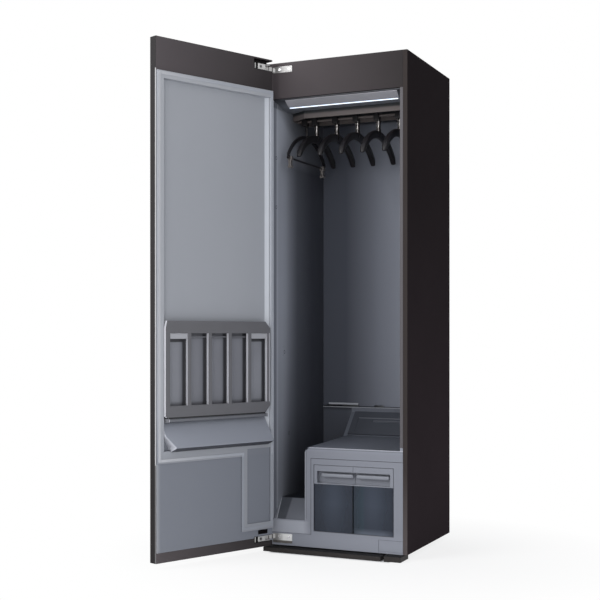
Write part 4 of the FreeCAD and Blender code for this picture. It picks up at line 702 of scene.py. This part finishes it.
def pocket_steel():
    """Black walls of the hinge pockets."""
    steel = Finish("hinge_pocket_black")
    stain = steel.noise(300.0, detail=3.0)
    steel.colour = steel.blend(stain, tone(14, 13, 14), tone(26, 25, 26))
    return steel.done(0.4 + stain * 0.2, stain, specular=0.2)


def link_steel():
    """Bright hinge body with a dark screw recess."""
    steel = Finish("hinge_link_steel")
    along, _, height = steel.door_axes()
    smear = steel.noise(200.0, detail=3.0)
    level = steel.span(height, 1.0, 1.01, LOWER_HINGE_MIDDLE, UPPER_HINGE_MIDDLE)
    reach = ((along - SCREW_ALONG) ** 2.0 + (height - level) ** 2.0) ** 0.5
    steel.colour = steel.blend(smear, tone(204, 203, 201), tone(226, 225, 223))
    # Painted shade round the screw and in its recess.
    around = steel.fall(reach, 0.004, 0.009)
    steel.coat(around * 0.8, tone(70, 69, 70))
    steel.coat(steel.fall(reach, 0.0030, 0.0036), tone(18, 17, 18))
    return steel.done(0.3 + smear * 0.15, smear, THIN_DEPTH, metallic=0.3)


def polished_pin():
    """Turned and plated steel for pins, screws and collars."""
    plate = Finish("plated_pin_steel")
    rings = plate.noise(1500.0, detail=1.0, stretch=(0.1, 0.1, 1.0))
    plate.colour = plate.blend(rings, tone(190, 190, 194), tone(230, 230, 232))
    return plate.done(0.16 + rings * 0.12, metallic=1.0)


def polished_clip():
    """Chromed clip, hazed in its corners."""
    clip = Finish("chromed_trouser_clip")
    haze = clip.noise(180.0, detail=3.0)
    clip.colour = clip.blend(haze, tone(120, 114, 112), tone(186, 180, 176))
    return clip.done(0.22 + haze * 0.16, metallic=0.8)


def gloss_hanger_plastic():
    """Soft-gloss black moulding with a fine haze."""
    plastic = Finish("hanger_gloss_black")
    haze = plastic.noise(18.0, detail=3.0)
    plastic.colour = plastic.blend(haze, tone(26, 24, 26), tone(36, 34, 36))
    return plastic.done(0.30 + haze * 0.10, plastic.noise(700.0), 0.00001, 0.2, specular=0.32)


def glossy_neck():
    """Black polished neck with two drawn light streaks down its front."""
    neck = Finish("hanger_polished_neck")
    turn = neck.node("SeparateXYZ", Vector=neck.node("UVMap", settings={"uv_map": "around"}))
    haze = neck.noise(300.0, stretch=(1.0, 1.0, 0.1))
    bright = neck.between(turn, -0.215, -0.175, 0.012)
    faint = neck.between(turn, -0.345, -0.325, 0.010) * 0.55
    streak = (bright + faint).clamped()
    neck.colour = neck.blend(streak, tone(40, 36, 37), tone(214, 208, 204))
    return neck.done(0.14 + haze * 0.1, specular=0.6, metallic=0.25)


def smoked_tank_plastic():
    """Clear smoked water container with faint moulding waves."""
    plastic = Finish("smoked_tank_plastic")
    wave = plastic.noise(9.0)
    x, _, z = plastic.axes()
    # Painted light and shade: each tank paler in its middle and darker towards its sides, top and
    # bottom, with painted shadow in the split between the tanks.
    from_middle = (TANK_HALF - (x - TANK_SPLIT).size()).size()
    edge = plastic.span(from_middle, 0.030, 0.078) ** 1.5
    upper = plastic.span(z, 0.200, 0.276)
    split = plastic.line(x, TANK_SPLIT, 0.0022)
    teal = plastic.between(x, TANK_SPLIT + 0.003, TANK_SPLIT + 0.040, 0.010)
    foot = plastic.fall(z, 0.092, 0.112) * plastic.span(x, TANK_SPLIT, TANK_SPLIT + 0.01)
    centre = plastic.fall(from_middle, 0.010, 0.050)
    plastic.colour = plastic.blend(wave, tone(51, 59, 73), tone(62, 71, 85))
    plastic.coat(centre * 0.35, tone(86, 96, 113))
    low = plastic.fall(z, 0.10, 0.20)
    plastic.coat(low * 0.5, tone(38, 44, 58))
    plastic.coat(teal * 0.35, tone(52, 80, 90))
    plastic.coat(foot * 0.7, tone(116, 124, 138))
    plastic.coat((edge * 0.55 + upper * 0.25).clamped(), tone(38, 44, 58))
    plastic.coat(split, tone(8, 10, 18))
    plastic.set(Transmission_Weight=0.35, IOR=1.45)
    return plastic.done(0.12 + wave * 0.10, plastic.noise(26.0), 0.0004, 0.25, specular=0.2)


def lit_lens():
    """Frosted light strip, brightest along its middle."""
    lens = Finish("lit_frosted_lens")
    frost = lens.noise(700.0)
    across = lens.axes()[1]
    middle = lens.fall((across - 0.082).size(), 0.0015, 0.0065)
    lens.set(Base_Color=tone(225, 232, 240), Roughness=0.35 + frost * 0.2,
             Emission_Color=lens.blend(middle, tone(150, 172, 196), tone(240, 247, 255)))
    lens.set(Emission_Strength=1.7)
    return lens.material


def soft_gasket():
    """Matt extruded seal in the liner's grey, with a faint bloom."""
    rubber = Finish("soft_grey_gasket")
    bloom = rubber.noise(30.0, detail=5.0, rough=0.7)
    along, _, height = rubber.door_axes()
    # Painted shade in two creases of the seal.
    crease_shade = rubber.line(along, 0.5795, 0.0006) + rubber.line(along, 0.5725, 0.0006)
    # Painted light: paler towards the free edge.
    free_edge = rubber.span(along, 0.30, 0.56)
    rubber.colour = rubber.blend(free_edge, tone(180, 184, 192), tone(202, 203, 207))
    low = rubber.fall(height, 0.386, 0.396)
    rubber.coat(low * 0.5, tone(140, 144, 153))
    rubber.coat(crease_shade * 0.35, tone(140, 142, 148))
    rubber.coat(bloom * 0.2, tone(150, 153, 160))
    return rubber.done(0.62 + bloom * 0.2, rubber.noise(900.0), specular=0.25)


def foot_rubber():
    """Black rubber for the feet, dusty in its grain."""
    rubber = Finish("black_foot_rubber")
    dust = rubber.noise(160.0, detail=4.0, rough=0.7)
    rubber.colour = rubber.blend(rubber.span(dust, 0.45, 0.8), tone(26, 26, 27), tone(52, 51, 50))
    return rubber.done(0.75 + dust * 0.15, dust, 0.0001, 0.5)


def spangled_zinc():
    """Galvanised sheet with its crystal flowers."""
    zinc = Finish("spangled_zinc")
    flower = zinc.node("TexVoronoi", output="Color", Vector=zinc.place(), Scale=70.0)
    grey = zinc.node("RGBToBW", Color=flower)
    zinc.colour = zinc.blend(grey, tone(128, 131, 134), tone(168, 171, 174))
    return zinc.done(0.36 + grey * 0.22, grey, THIN_DEPTH, 0.3, metallic=0.55)


def glass_touch_panel():
    """Black glass with a fine smear of fingers."""
    glass = Finish("black_touch_glass")
    smear = glass.noise(26.0, detail=5.0, rough=0.7)
    glass.colour = glass.blend(smear, tone(13, 13, 14), tone(22, 22, 24))
    glass.set(Coat_Roughness=0.03)
    return glass.done(0.04 + glass.span(smear, 0.5, 0.8) * 0.12)


def cast_metal(name, dark, light, metallic, rough, scale=120.0):
    """Cast or drawn metal of the machine parts, mottled and slightly pitted."""
    metal = Finish(name)
    mottle = metal.noise(scale, detail=4.0, rough=0.6)
    metal.colour = metal.blend(mottle, dark, light)
    return metal.done(rough + (mottle - 0.5) * 0.2, metal.noise(scale * 6), 0.00006, 0.5,
                      metallic=metallic)


def laminate():
    """Green circuit laminate with its woven glass showing through."""
    board = Finish("green_laminate")
    warp = board.node("TexWave", Vector=board.place(), Scale=300.0)
    weft = board.node("TexWave", Vector=board.place(), Scale=300.0,
                      settings={"bands_direction": "Y"})
    weave = board.node("RGBToBW", Color=board.blend(0.5, warp, weft))
    board.colour = board.blend(weave, tone(18, 74, 40), tone(34, 98, 56))
    return board.done(0.4 + weave * 0.15)


# ---- modelling by hand ----


def only(*pieces):
    """Selects these objects and nothing else."""
    bpy.ops.object.select_all(action="DESELECT")
    for piece in pieces:
        piece.select_set(True)
    bpy.context.view_layer.objects.active = pieces[-1] if pieces else None


def settle(piece):
    """Puts the piece's place, turn and size into its mesh."""
    only(piece)
    bpy.ops.object.transform_apply(location=True, rotation=True, scale=True)


def modify(piece, kind, **settings):
    """Adds a modifier and applies it at once."""
    only(piece)
    modifier = piece.modifiers.new(kind.lower(), kind)
    for name, value in settings.items():
        setattr(modifier, name, value)
    bpy.ops.object.modifier_apply(modifier=modifier.name)


def round_off(piece, width, segments=2, corner=CORNER):
    """Rounds the piece's sharp edges and keeps its flats flat."""
    only(piece)
    bpy.ops.object.shade_smooth_by_angle(angle=SMOOTH)
    modify(piece, "BEVEL", width=width, segments=segments, limit_method="ANGLE",
           angle_limit=corner, harden_normals=True, use_clamp_overlap=True)
    modify(piece, "WEIGHTED_NORMAL", weight=100, keep_sharp=True)


def merged_copy(node):
    """A copy of a CAD node with its loose triangles joined into whole faces."""
    piece = bpy.data.objects.new(node + "_finished", frame["nodes"][node].data.copy())
    bpy.context.scene.collection.objects.link(piece)
    only(piece)
    bpy.ops.object.mode_set(mode="EDIT")
    bpy.ops.mesh.select_all(action="SELECT")
    bpy.ops.mesh.remove_doubles(threshold=MERGE)
    bpy.ops.mesh.dissolve_limited(angle_limit=FLAT)
    bpy.ops.object.mode_set(mode="OBJECT")
    if piece.data.has_custom_normals:
        bpy.ops.mesh.customdata_custom_splitnormals_clear()
    return piece


def mark(piece, name, towards, least=0.6):
    """Paints 1 on the faces that look along this direction, and 0 on the others."""
    layer = piece.data.attributes.new(name, "FLOAT", "FACE")
    direction = Vector(towards).normalized()
    for face in piece.data.polygons:
        layer.data[face.index].value = float(face.normal.dot(direction) > least)


def dress(piece, finish, body):
    """Gives a finished piece its material and its body."""
    piece.data.materials.clear()
    piece.data.materials.append(finish)
    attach(piece, body)
    return piece


def finished(node, finish, width=0.0008, segments=2):
    """The CAD node's own shape with its edges eased, in its finish."""
    piece = merged_copy(node)
    round_off(piece, width, segments)
    dress(piece, finish, frame["nodes"][node]["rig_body"])
    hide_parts(node)
    return piece


def skin(name, rings, closed=True):
    """Mesh over a row of rings with equal numbers of points, capped at both ends."""
    mesh = bmesh.new()
    rows = [[mesh.verts.new(point) for point in ring] for ring in rings]
    count = len(rings[0])
    for first, second in zip(rows, rows[1:]):
        for i in range(count):
            j = (i + 1) % count
            mesh.faces.new((first[i], first[j], second[j], second[i]))
    if closed:
        mesh.faces.new(rows[0])
        mesh.faces.new(rows[-1])
    bmesh.ops.recalc_face_normals(mesh, faces=mesh.faces)
    data = bpy.data.meshes.new(name)
    mesh.to_mesh(data)
    mesh.free()
    piece = bpy.data.objects.new(name, data)
    bpy.context.scene.collection.objects.link(piece)
    return piece


def slab(name, outline, low, high, axis):
    """Flat-sided solid: an outline pulled from low to high along X, Y or Z."""
    turn = {"X": lambda a, b, c: (c, a, b), "Y": lambda a, b, c: (a, c, b),
            "Z": lambda a, b, c: (a, b, c)}[axis]
    return skin(name, [[turn(a, b, c) for a, b in outline] for c in (low, high)])


def brick(name, low, high):
    (x0, y0, z0), (x1, y1, z1) = low, high
    return slab(name, [(x0, y0), (x1, y0), (x1, y1), (x0, y1)], z0, z1, "Z")


def turned(name, centre, profile, sides=32, axis="Z"):
    """Lathe shape: (radius, distance) pairs turned about an axis through centre."""
    rings = []
    for radius, along in profile:
        ring = []
        for i in range(sides):
            angle = 2 * math.pi * i / sides
            a, b = radius * math.cos(angle), radius * math.sin(angle)
            offset = {"X": (along, a, b), "Y": (a, along, b), "Z": (a, b, along)}[axis]
            ring.append(Vector(centre) + Vector(offset))
        rings.append(ring)
    return skin(name, rings)


def joined(name, *pieces):
    only(*pieces)
    bpy.ops.object.join()
    piece = bpy.context.object
    piece.name = name
    return piece


def open_on_door(piece):
    """Turns a piece that was shaped on the shut door to where the open door stands."""
    turn = Matrix.Translation(PIVOT) @ Matrix.Rotation(DOOR_TURN, 4, "Z")
    piece.data.transform(turn @ Matrix.Translation(-PIVOT))
    return piece


def stand_for(piece, node, finish):
    """Lets a hand-made piece take the place of a CAD node."""
    dress(piece, finish, frame["nodes"][node]["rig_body"])
    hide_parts(node)
    return piece


# ---- hangers ----
RAIL_Z = 1.762
RAIL_Y = 0.248
NECK_Y = 0.262
HOOK_LOW = 1.743
HOOK_HIGH = 1.7713
HOOK_BORE = 0.0053
HOOK_HALF_LENGTH = 0.018
HOOK_HALF_WIDTH = 0.011
SHOULDER_Z = 1.702
SHOULDER_DROP = 0.096
SHOULDER_REACH = 0.1985
NECK_PROFILE = ((0.0086, 0.002), (0.0108, -0.001), (0.0108, -0.008), (0.0092, -0.010),
                (0.0090, -0.034), (0.0104, -0.037), (0.0108, -0.041), (0.0108, -0.052),
                (0.0092, -0.062), (0.0092, -0.068))


def hook_head(x, width):
    """Block that hooks over the rail."""
    arc = [(RAIL_Y + HOOK_BORE * math.cos(turn), RAIL_Z + HOOK_BORE * math.sin(turn))
           for turn in (math.pi * i / 12 for i in range(13))]
    near, far = RAIL_Y - HOOK_HALF_LENGTH, RAIL_Y + HOOK_HALF_LENGTH
    outline = [(near, HOOK_LOW), (near, HOOK_HIGH), (far, HOOK_HIGH), (far, HOOK_LOW),
               (RAIL_Y + HOOK_BORE, HOOK_LOW), *arc, (RAIL_Y - HOOK_BORE, HOOK_LOW)]
    head = slab("hook_head", outline, x - width, x + width, "X")
    round_off(head, 0.0016, 3)
    return head


def shoulder_ring(x, share, half_width, height, points=20):
    """One upright section of a shoulder bar, at share -1 to 1 from the front tip to the back."""
    radius = (SHOULDER_REACH ** 2 + SHOULDER_DROP ** 2) / (2 * SHOULDER_DROP)
    along = share * SHOULDER_REACH
    top = SHOULDER_Z - radius + math.sqrt(radius ** 2 - along ** 2)
    past = max(0.0, (abs(share) - 0.94) / 0.06)
    shrink = math.sqrt(max(0.02, 1 - past ** 2))
    ring = []
    for i in range(points):
        turn = 2 * math.pi * i / points
        across, up = math.cos(turn), math.sin(turn)
        groove = 0.90 if i in (0, points // 2) else 1.0
        ring.append((x + half_width * shrink * groove * math.copysign(abs(across) ** 0.55, across),
                     NECK_Y + along,
                     top - height / 2 + height / 2 * shrink * math.copysign(abs(up) ** 0.6, up)))
    return ring


def add_air_hanger(number, shell, neck):
    """Hollow shoulders that widen to their tips, a waisted neck with two collars, and a hook."""
    node = f"air_hanger_{number}"
    low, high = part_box(node)
    x = (low[0] + high[0]) / 2
    shares = [-1 + 2 * i / 56 for i in range(57)]
    rings = [shoulder_ring(x, share, 0.0082 + 0.0036 * min(1.0, abs(share) * 1.5),
                           0.0335 - 0.006 * abs(share) ** 2) for share in shares]
    shoulders = skin("shoulders", rings)
    only(shoulders)
    bpy.ops.object.shade_smooth_by_angle(angle=SMOOTH)
    body = joined(node + "_shoulders", shoulders, hook_head(x, HOOK_HALF_WIDTH))
    stand_for(body, node, shell)
    stem = turned(node + "_neck", (x, NECK_Y, HOOK_LOW), NECK_PROFILE)
    only(stem)
    bpy.ops.object.shade_smooth_by_angle(angle=SMOOTH)
    around = stem.data.uv_layers.new(name="around")
    for corner in stem.data.loops:
        point = stem.data.vertices[corner.vertex_index].co
        turn = math.atan2(point.y - NECK_Y, point.x - x)
        around.data[corner.index].uv = (turn / (2 * math.pi), point.z - HOOK_LOW)
    dress(stem, neck, frame["nodes"][node]["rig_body"])
    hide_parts(node)


# ---- hinge bodies and tank grips ----
GRIP_BARS = (("left", -0.0594, 0.0752), ("right", 0.0876, 0.2232))
GRIP_FRONT = 0.0045
GRIP_BACK = 0.0215
GRIP_LOW = 0.3025
GRIP_HIGH = 0.3185


def door_brick(name, near, far, low, high, ease=0.0008):
    """Eased block in the hinge pocket: near and far along the door, low and high up it."""
    block = brick(name, (DOOR_LEFT + near, LINK_DEEP, low), (DOOR_LEFT + far, LINK_FACE, high))
    round_off(block, ease)
    return open_on_door(block)


def add_hinge_bodies(finish):
    """Fixing block with cheeks that straddle the arm, and the end plate of each pocket."""
    parts = []
    for low, high in HINGES:
        parts.append(door_brick("hinge_block", 0.037, 0.076, low + 0.0008, high - 0.0008, 0.0016))
        parts.append(door_brick("upper_cheek", 0.010, 0.0375, high - 0.0027, high - 0.0007))
        parts.append(door_brick("lower_cheek", 0.010, 0.0375, low + 0.0007, low + 0.0027))
        parts.append(door_brick("end_plate", 0.0900, 0.0935, low + 0.001, high - 0.001))
    stand_for(joined("hinge_bodies", *parts), "hinge_cups", finish)


def add_grip_bars(finish):
    """Rounded bar to pull on, across the upper half of each tank's finger recess."""
    for side, left, right in GRIP_BARS:
        bar = brick(side + "_grip_bar", (left, GRIP_FRONT, GRIP_LOW),
                    (right, GRIP_BACK, GRIP_HIGH))
        round_off(bar, 0.006, segments=5)
        stand_for(bar, side + "_tank_handle", finish)


# ---- floor, light and backdrop ----

def floor_finish():
    """Pale studio floor that fades to white away from the cabinet."""
    floor = Finish("studio_floor")
    x, y, _ = floor.axes()
    reach = ((x - 0.1) ** 2.0 + (y - 0.1) ** 2.0) ** 0.5
    speck = floor.noise(60.0)
    floor.set(Base_Color=floor.blend(speck, tone(240, 240, 241), tone(244, 244, 245)),
              Roughness=0.85 + speck * 0.1)
    white = floor.node("Emission", Color=(1, 1, 1, 1), Strength=1.0)
    beneath = floor.between(x, -0.25, 0.24, 0.01) * floor.between(y, -0.055, 0.25, 0.02)
    fade = floor.span(reach, FLOOR_CLEAR, FLOOR_WHITE, FLOOR_SHOWN, 1.0) * (1.0 - beneath)
    fade = fade * floor.seen_directly()
    floor.fade_to(fade, floor.shader.outputs[0], white, "Material Output")
    return floor.material


def add_floor():
    only()
    bpy.ops.mesh.primitive_circle_add(vertices=64, radius=FLOOR_RADIUS, fill_type="NGON",
                                      location=(0, 0, -0.0005))
    floor = bpy.context.object
    floor.name = "studio_floor_disc"
    settle(floor)
    floor.data.materials.append(floor_finish())


def add_world():
    world = bpy.data.worlds.new("studio")
    bpy.context.scene.world = world
    world.use_nodes = True
    sky = Nodes(world.node_tree)
    soft = sky.tree.nodes["Background"]
    soft.inputs["Color"].default_value = WORLD_COLOUR
    soft.inputs["Strength"].default_value = WORLD_LIGHT
    white = sky.node("Background", Color=(1, 1, 1, 1))
    sky.fade_to(sky.seen_directly(), soft.outputs[0], white, "World Output")


def add_lamp(name, place, target, size, power):
    light = bpy.data.lights.new(name, "AREA")
    light.shape = "DISK"
    light.size = size
    light.energy = power
    lamp = bpy.data.objects.new(name, light)
    bpy.context.scene.collection.objects.link(lamp)
    lamp.location = place
    lamp.rotation_euler = (Vector(target) - Vector(place)).to_track_quat("-Z", "Y").to_euler()


def add_studio():
    add_world()
    add_floor()
    for name, place, size, power in LAMPS:
        add_lamp(name, place, LAMP_TARGET, size, power)
    bpy.context.scene.view_settings.view_transform = "Standard"


# ---- every piece ----

def build_cabinet():
    casing = casing_paint()
    fascia = fascia_paint()
    chamber = chamber_plastic()
    front = front_plastic()
    duct = duct_plastic()
    lamp = moulded_plastic("lamp_housing_plastic", LAMP_COLOUR, rough=0.46)
    zinc = spangled_zinc()
    finishes = {
        "left_side_panel": (casing, 0.0006), "right_side_panel": (casing, 0.0006),
        "top_panel": (casing, 0.0006), "rear_panel": (zinc, 0.0003), "base_pan": (zinc, 0.0004),
        "top_fascia": (fascia, 0.0006), "left_liner_wall": (chamber, 0.0008),
        "right_liner_wall": (chamber, 0.0008), "rear_liner_wall": (chamber, 0.0008),
        "chamber_ceiling": (chamber, 0.0008), "well_floor": (well_plastic(), 0.0012),
        "front_frame": (front, 0.0009), "tank_bay_panel": (front, 0.0009),
        "machine_cover": (cover_plastic(), 0.0012), "lint_filter": (filter_plastic(), 0.0008),
        "service_cover": (front, 0.0009),
        "hanger_duct": (duct, 0.0008), "lamp_housing": (lamp, 0.001),
    }
    for node, (finish, width) in finishes.items():
        finished(node, finish, width)
    mark(finished("kick_boards", plinth_plastic(), 0.0008), "top", (0, 0, 1))
    finished("lamp_lens", lit_lens(), 0.0006)
    rubber = foot_rubber()
    for node in ("front_left_foot", "front_right_foot", "rear_feet"):
        finished(node, rubber, 0.0005)


def build_machinery():
    dark = moulded_plastic("fan_black_plastic", tone(38, 38, 40), rough=0.45)
    iron = cast_metal("compressor_black_paint", tone(20, 20, 21), tone(34, 34, 36), 0.1, 0.4)
    fins = cast_metal("coil_bare_aluminium", tone(176, 179, 183), tone(206, 209, 212), 0.9, 0.34)
    case = cast_metal("motor_cast_aluminium", tone(150, 152, 154), tone(178, 180, 182), 0.8, 0.45)
    copper = cast_metal("bare_copper_pipe", tone(196, 120, 84), tone(216, 142, 104), 0.95, 0.3)
    finishes = {
        "circulation_impeller": dark, "blower_impeller": dark, "blower_housing": dark,
        "water_pumps": dark, "cord_gland": dark, "fan_motors": case, "steam_generator": case,
        "compressor": iron, "condenser": fins, "evaporator": fins, "refrigerant_pipes": copper,
        "control_board": laminate(),
    }
    for node, finish in finishes.items():
        finished(node, finish, 0.0003, segments=1)


def build_hangers():
    gloss = gloss_hanger_plastic()
    neck = glossy_neck()
    for number in range(1, 6):
        add_air_hanger(number, gloss, neck)
    finished("trouser_hanger", gloss, 0.0012, segments=3)
    for node in ("front_trouser_clip", "rear_trouser_clip"):
        finished(node, polished_clip(), 0.0012, segments=3)


def build_tanks():
    front = moulded_plastic("tank_grip_plastic", FRONT_COLOUR, rough=0.4)
    clear = smoked_tank_plastic()
    for side in ("left", "right"):
        finished(side + "_tank_shell", clear, 0.0008)
        finished(side + "_tank_handle", front, 0.0010, segments=3)
    add_grip_bars(moulded_plastic("grip_bar_plastic", tone(128, 131, 139), rough=0.42))


def build_door():
    paint = door_paint()
    steel = brushed_steel()
    pin = polished_pin()
    tab = moulded_plastic("latch_tab_plastic", tone(172, 173, 178), rough=0.4)
    finished("door_shell", paint, 0.0008, segments=3)
    liner = finished("door_liner", door_liner_plastic(), 0.0012, segments=2)
    mark(liner, "wall", DOOR_ALONG)
    finished("door_gasket", soft_gasket(), 0.0006)
    finished("touch_glass", glass_touch_panel(), 0.0004)
    finished("hinge_cups", pocket_steel(), 0.0004)
    add_hinge_bodies(link_steel())
    finished("hinge_brackets", steel, 0.0006)
    finished("hinge_pins", pin, 0.0003)
    finished("hinge_screws", pin, 0.0003)
    finished("press_back_plate", press_backing(), 0.0006)
    mark(finished("press_grille", press_plastic(), 0.0014, segments=3), "flank", DOOR_ALONG)
    finished("left_press_latch", tab, 0.0010)
    finished("right_press_latch", tab, 0.0010)
    tray = finished("drip_tray", tray_plastic(), 0.0012, segments=3)
    mark(tray, "underside", (0, 0, -1))
    mark(tray, "end", DOOR_ALONG)


add_camera()
build_cabinet()
build_machinery()
build_hangers()
build_tanks()
build_door()
add_studio()
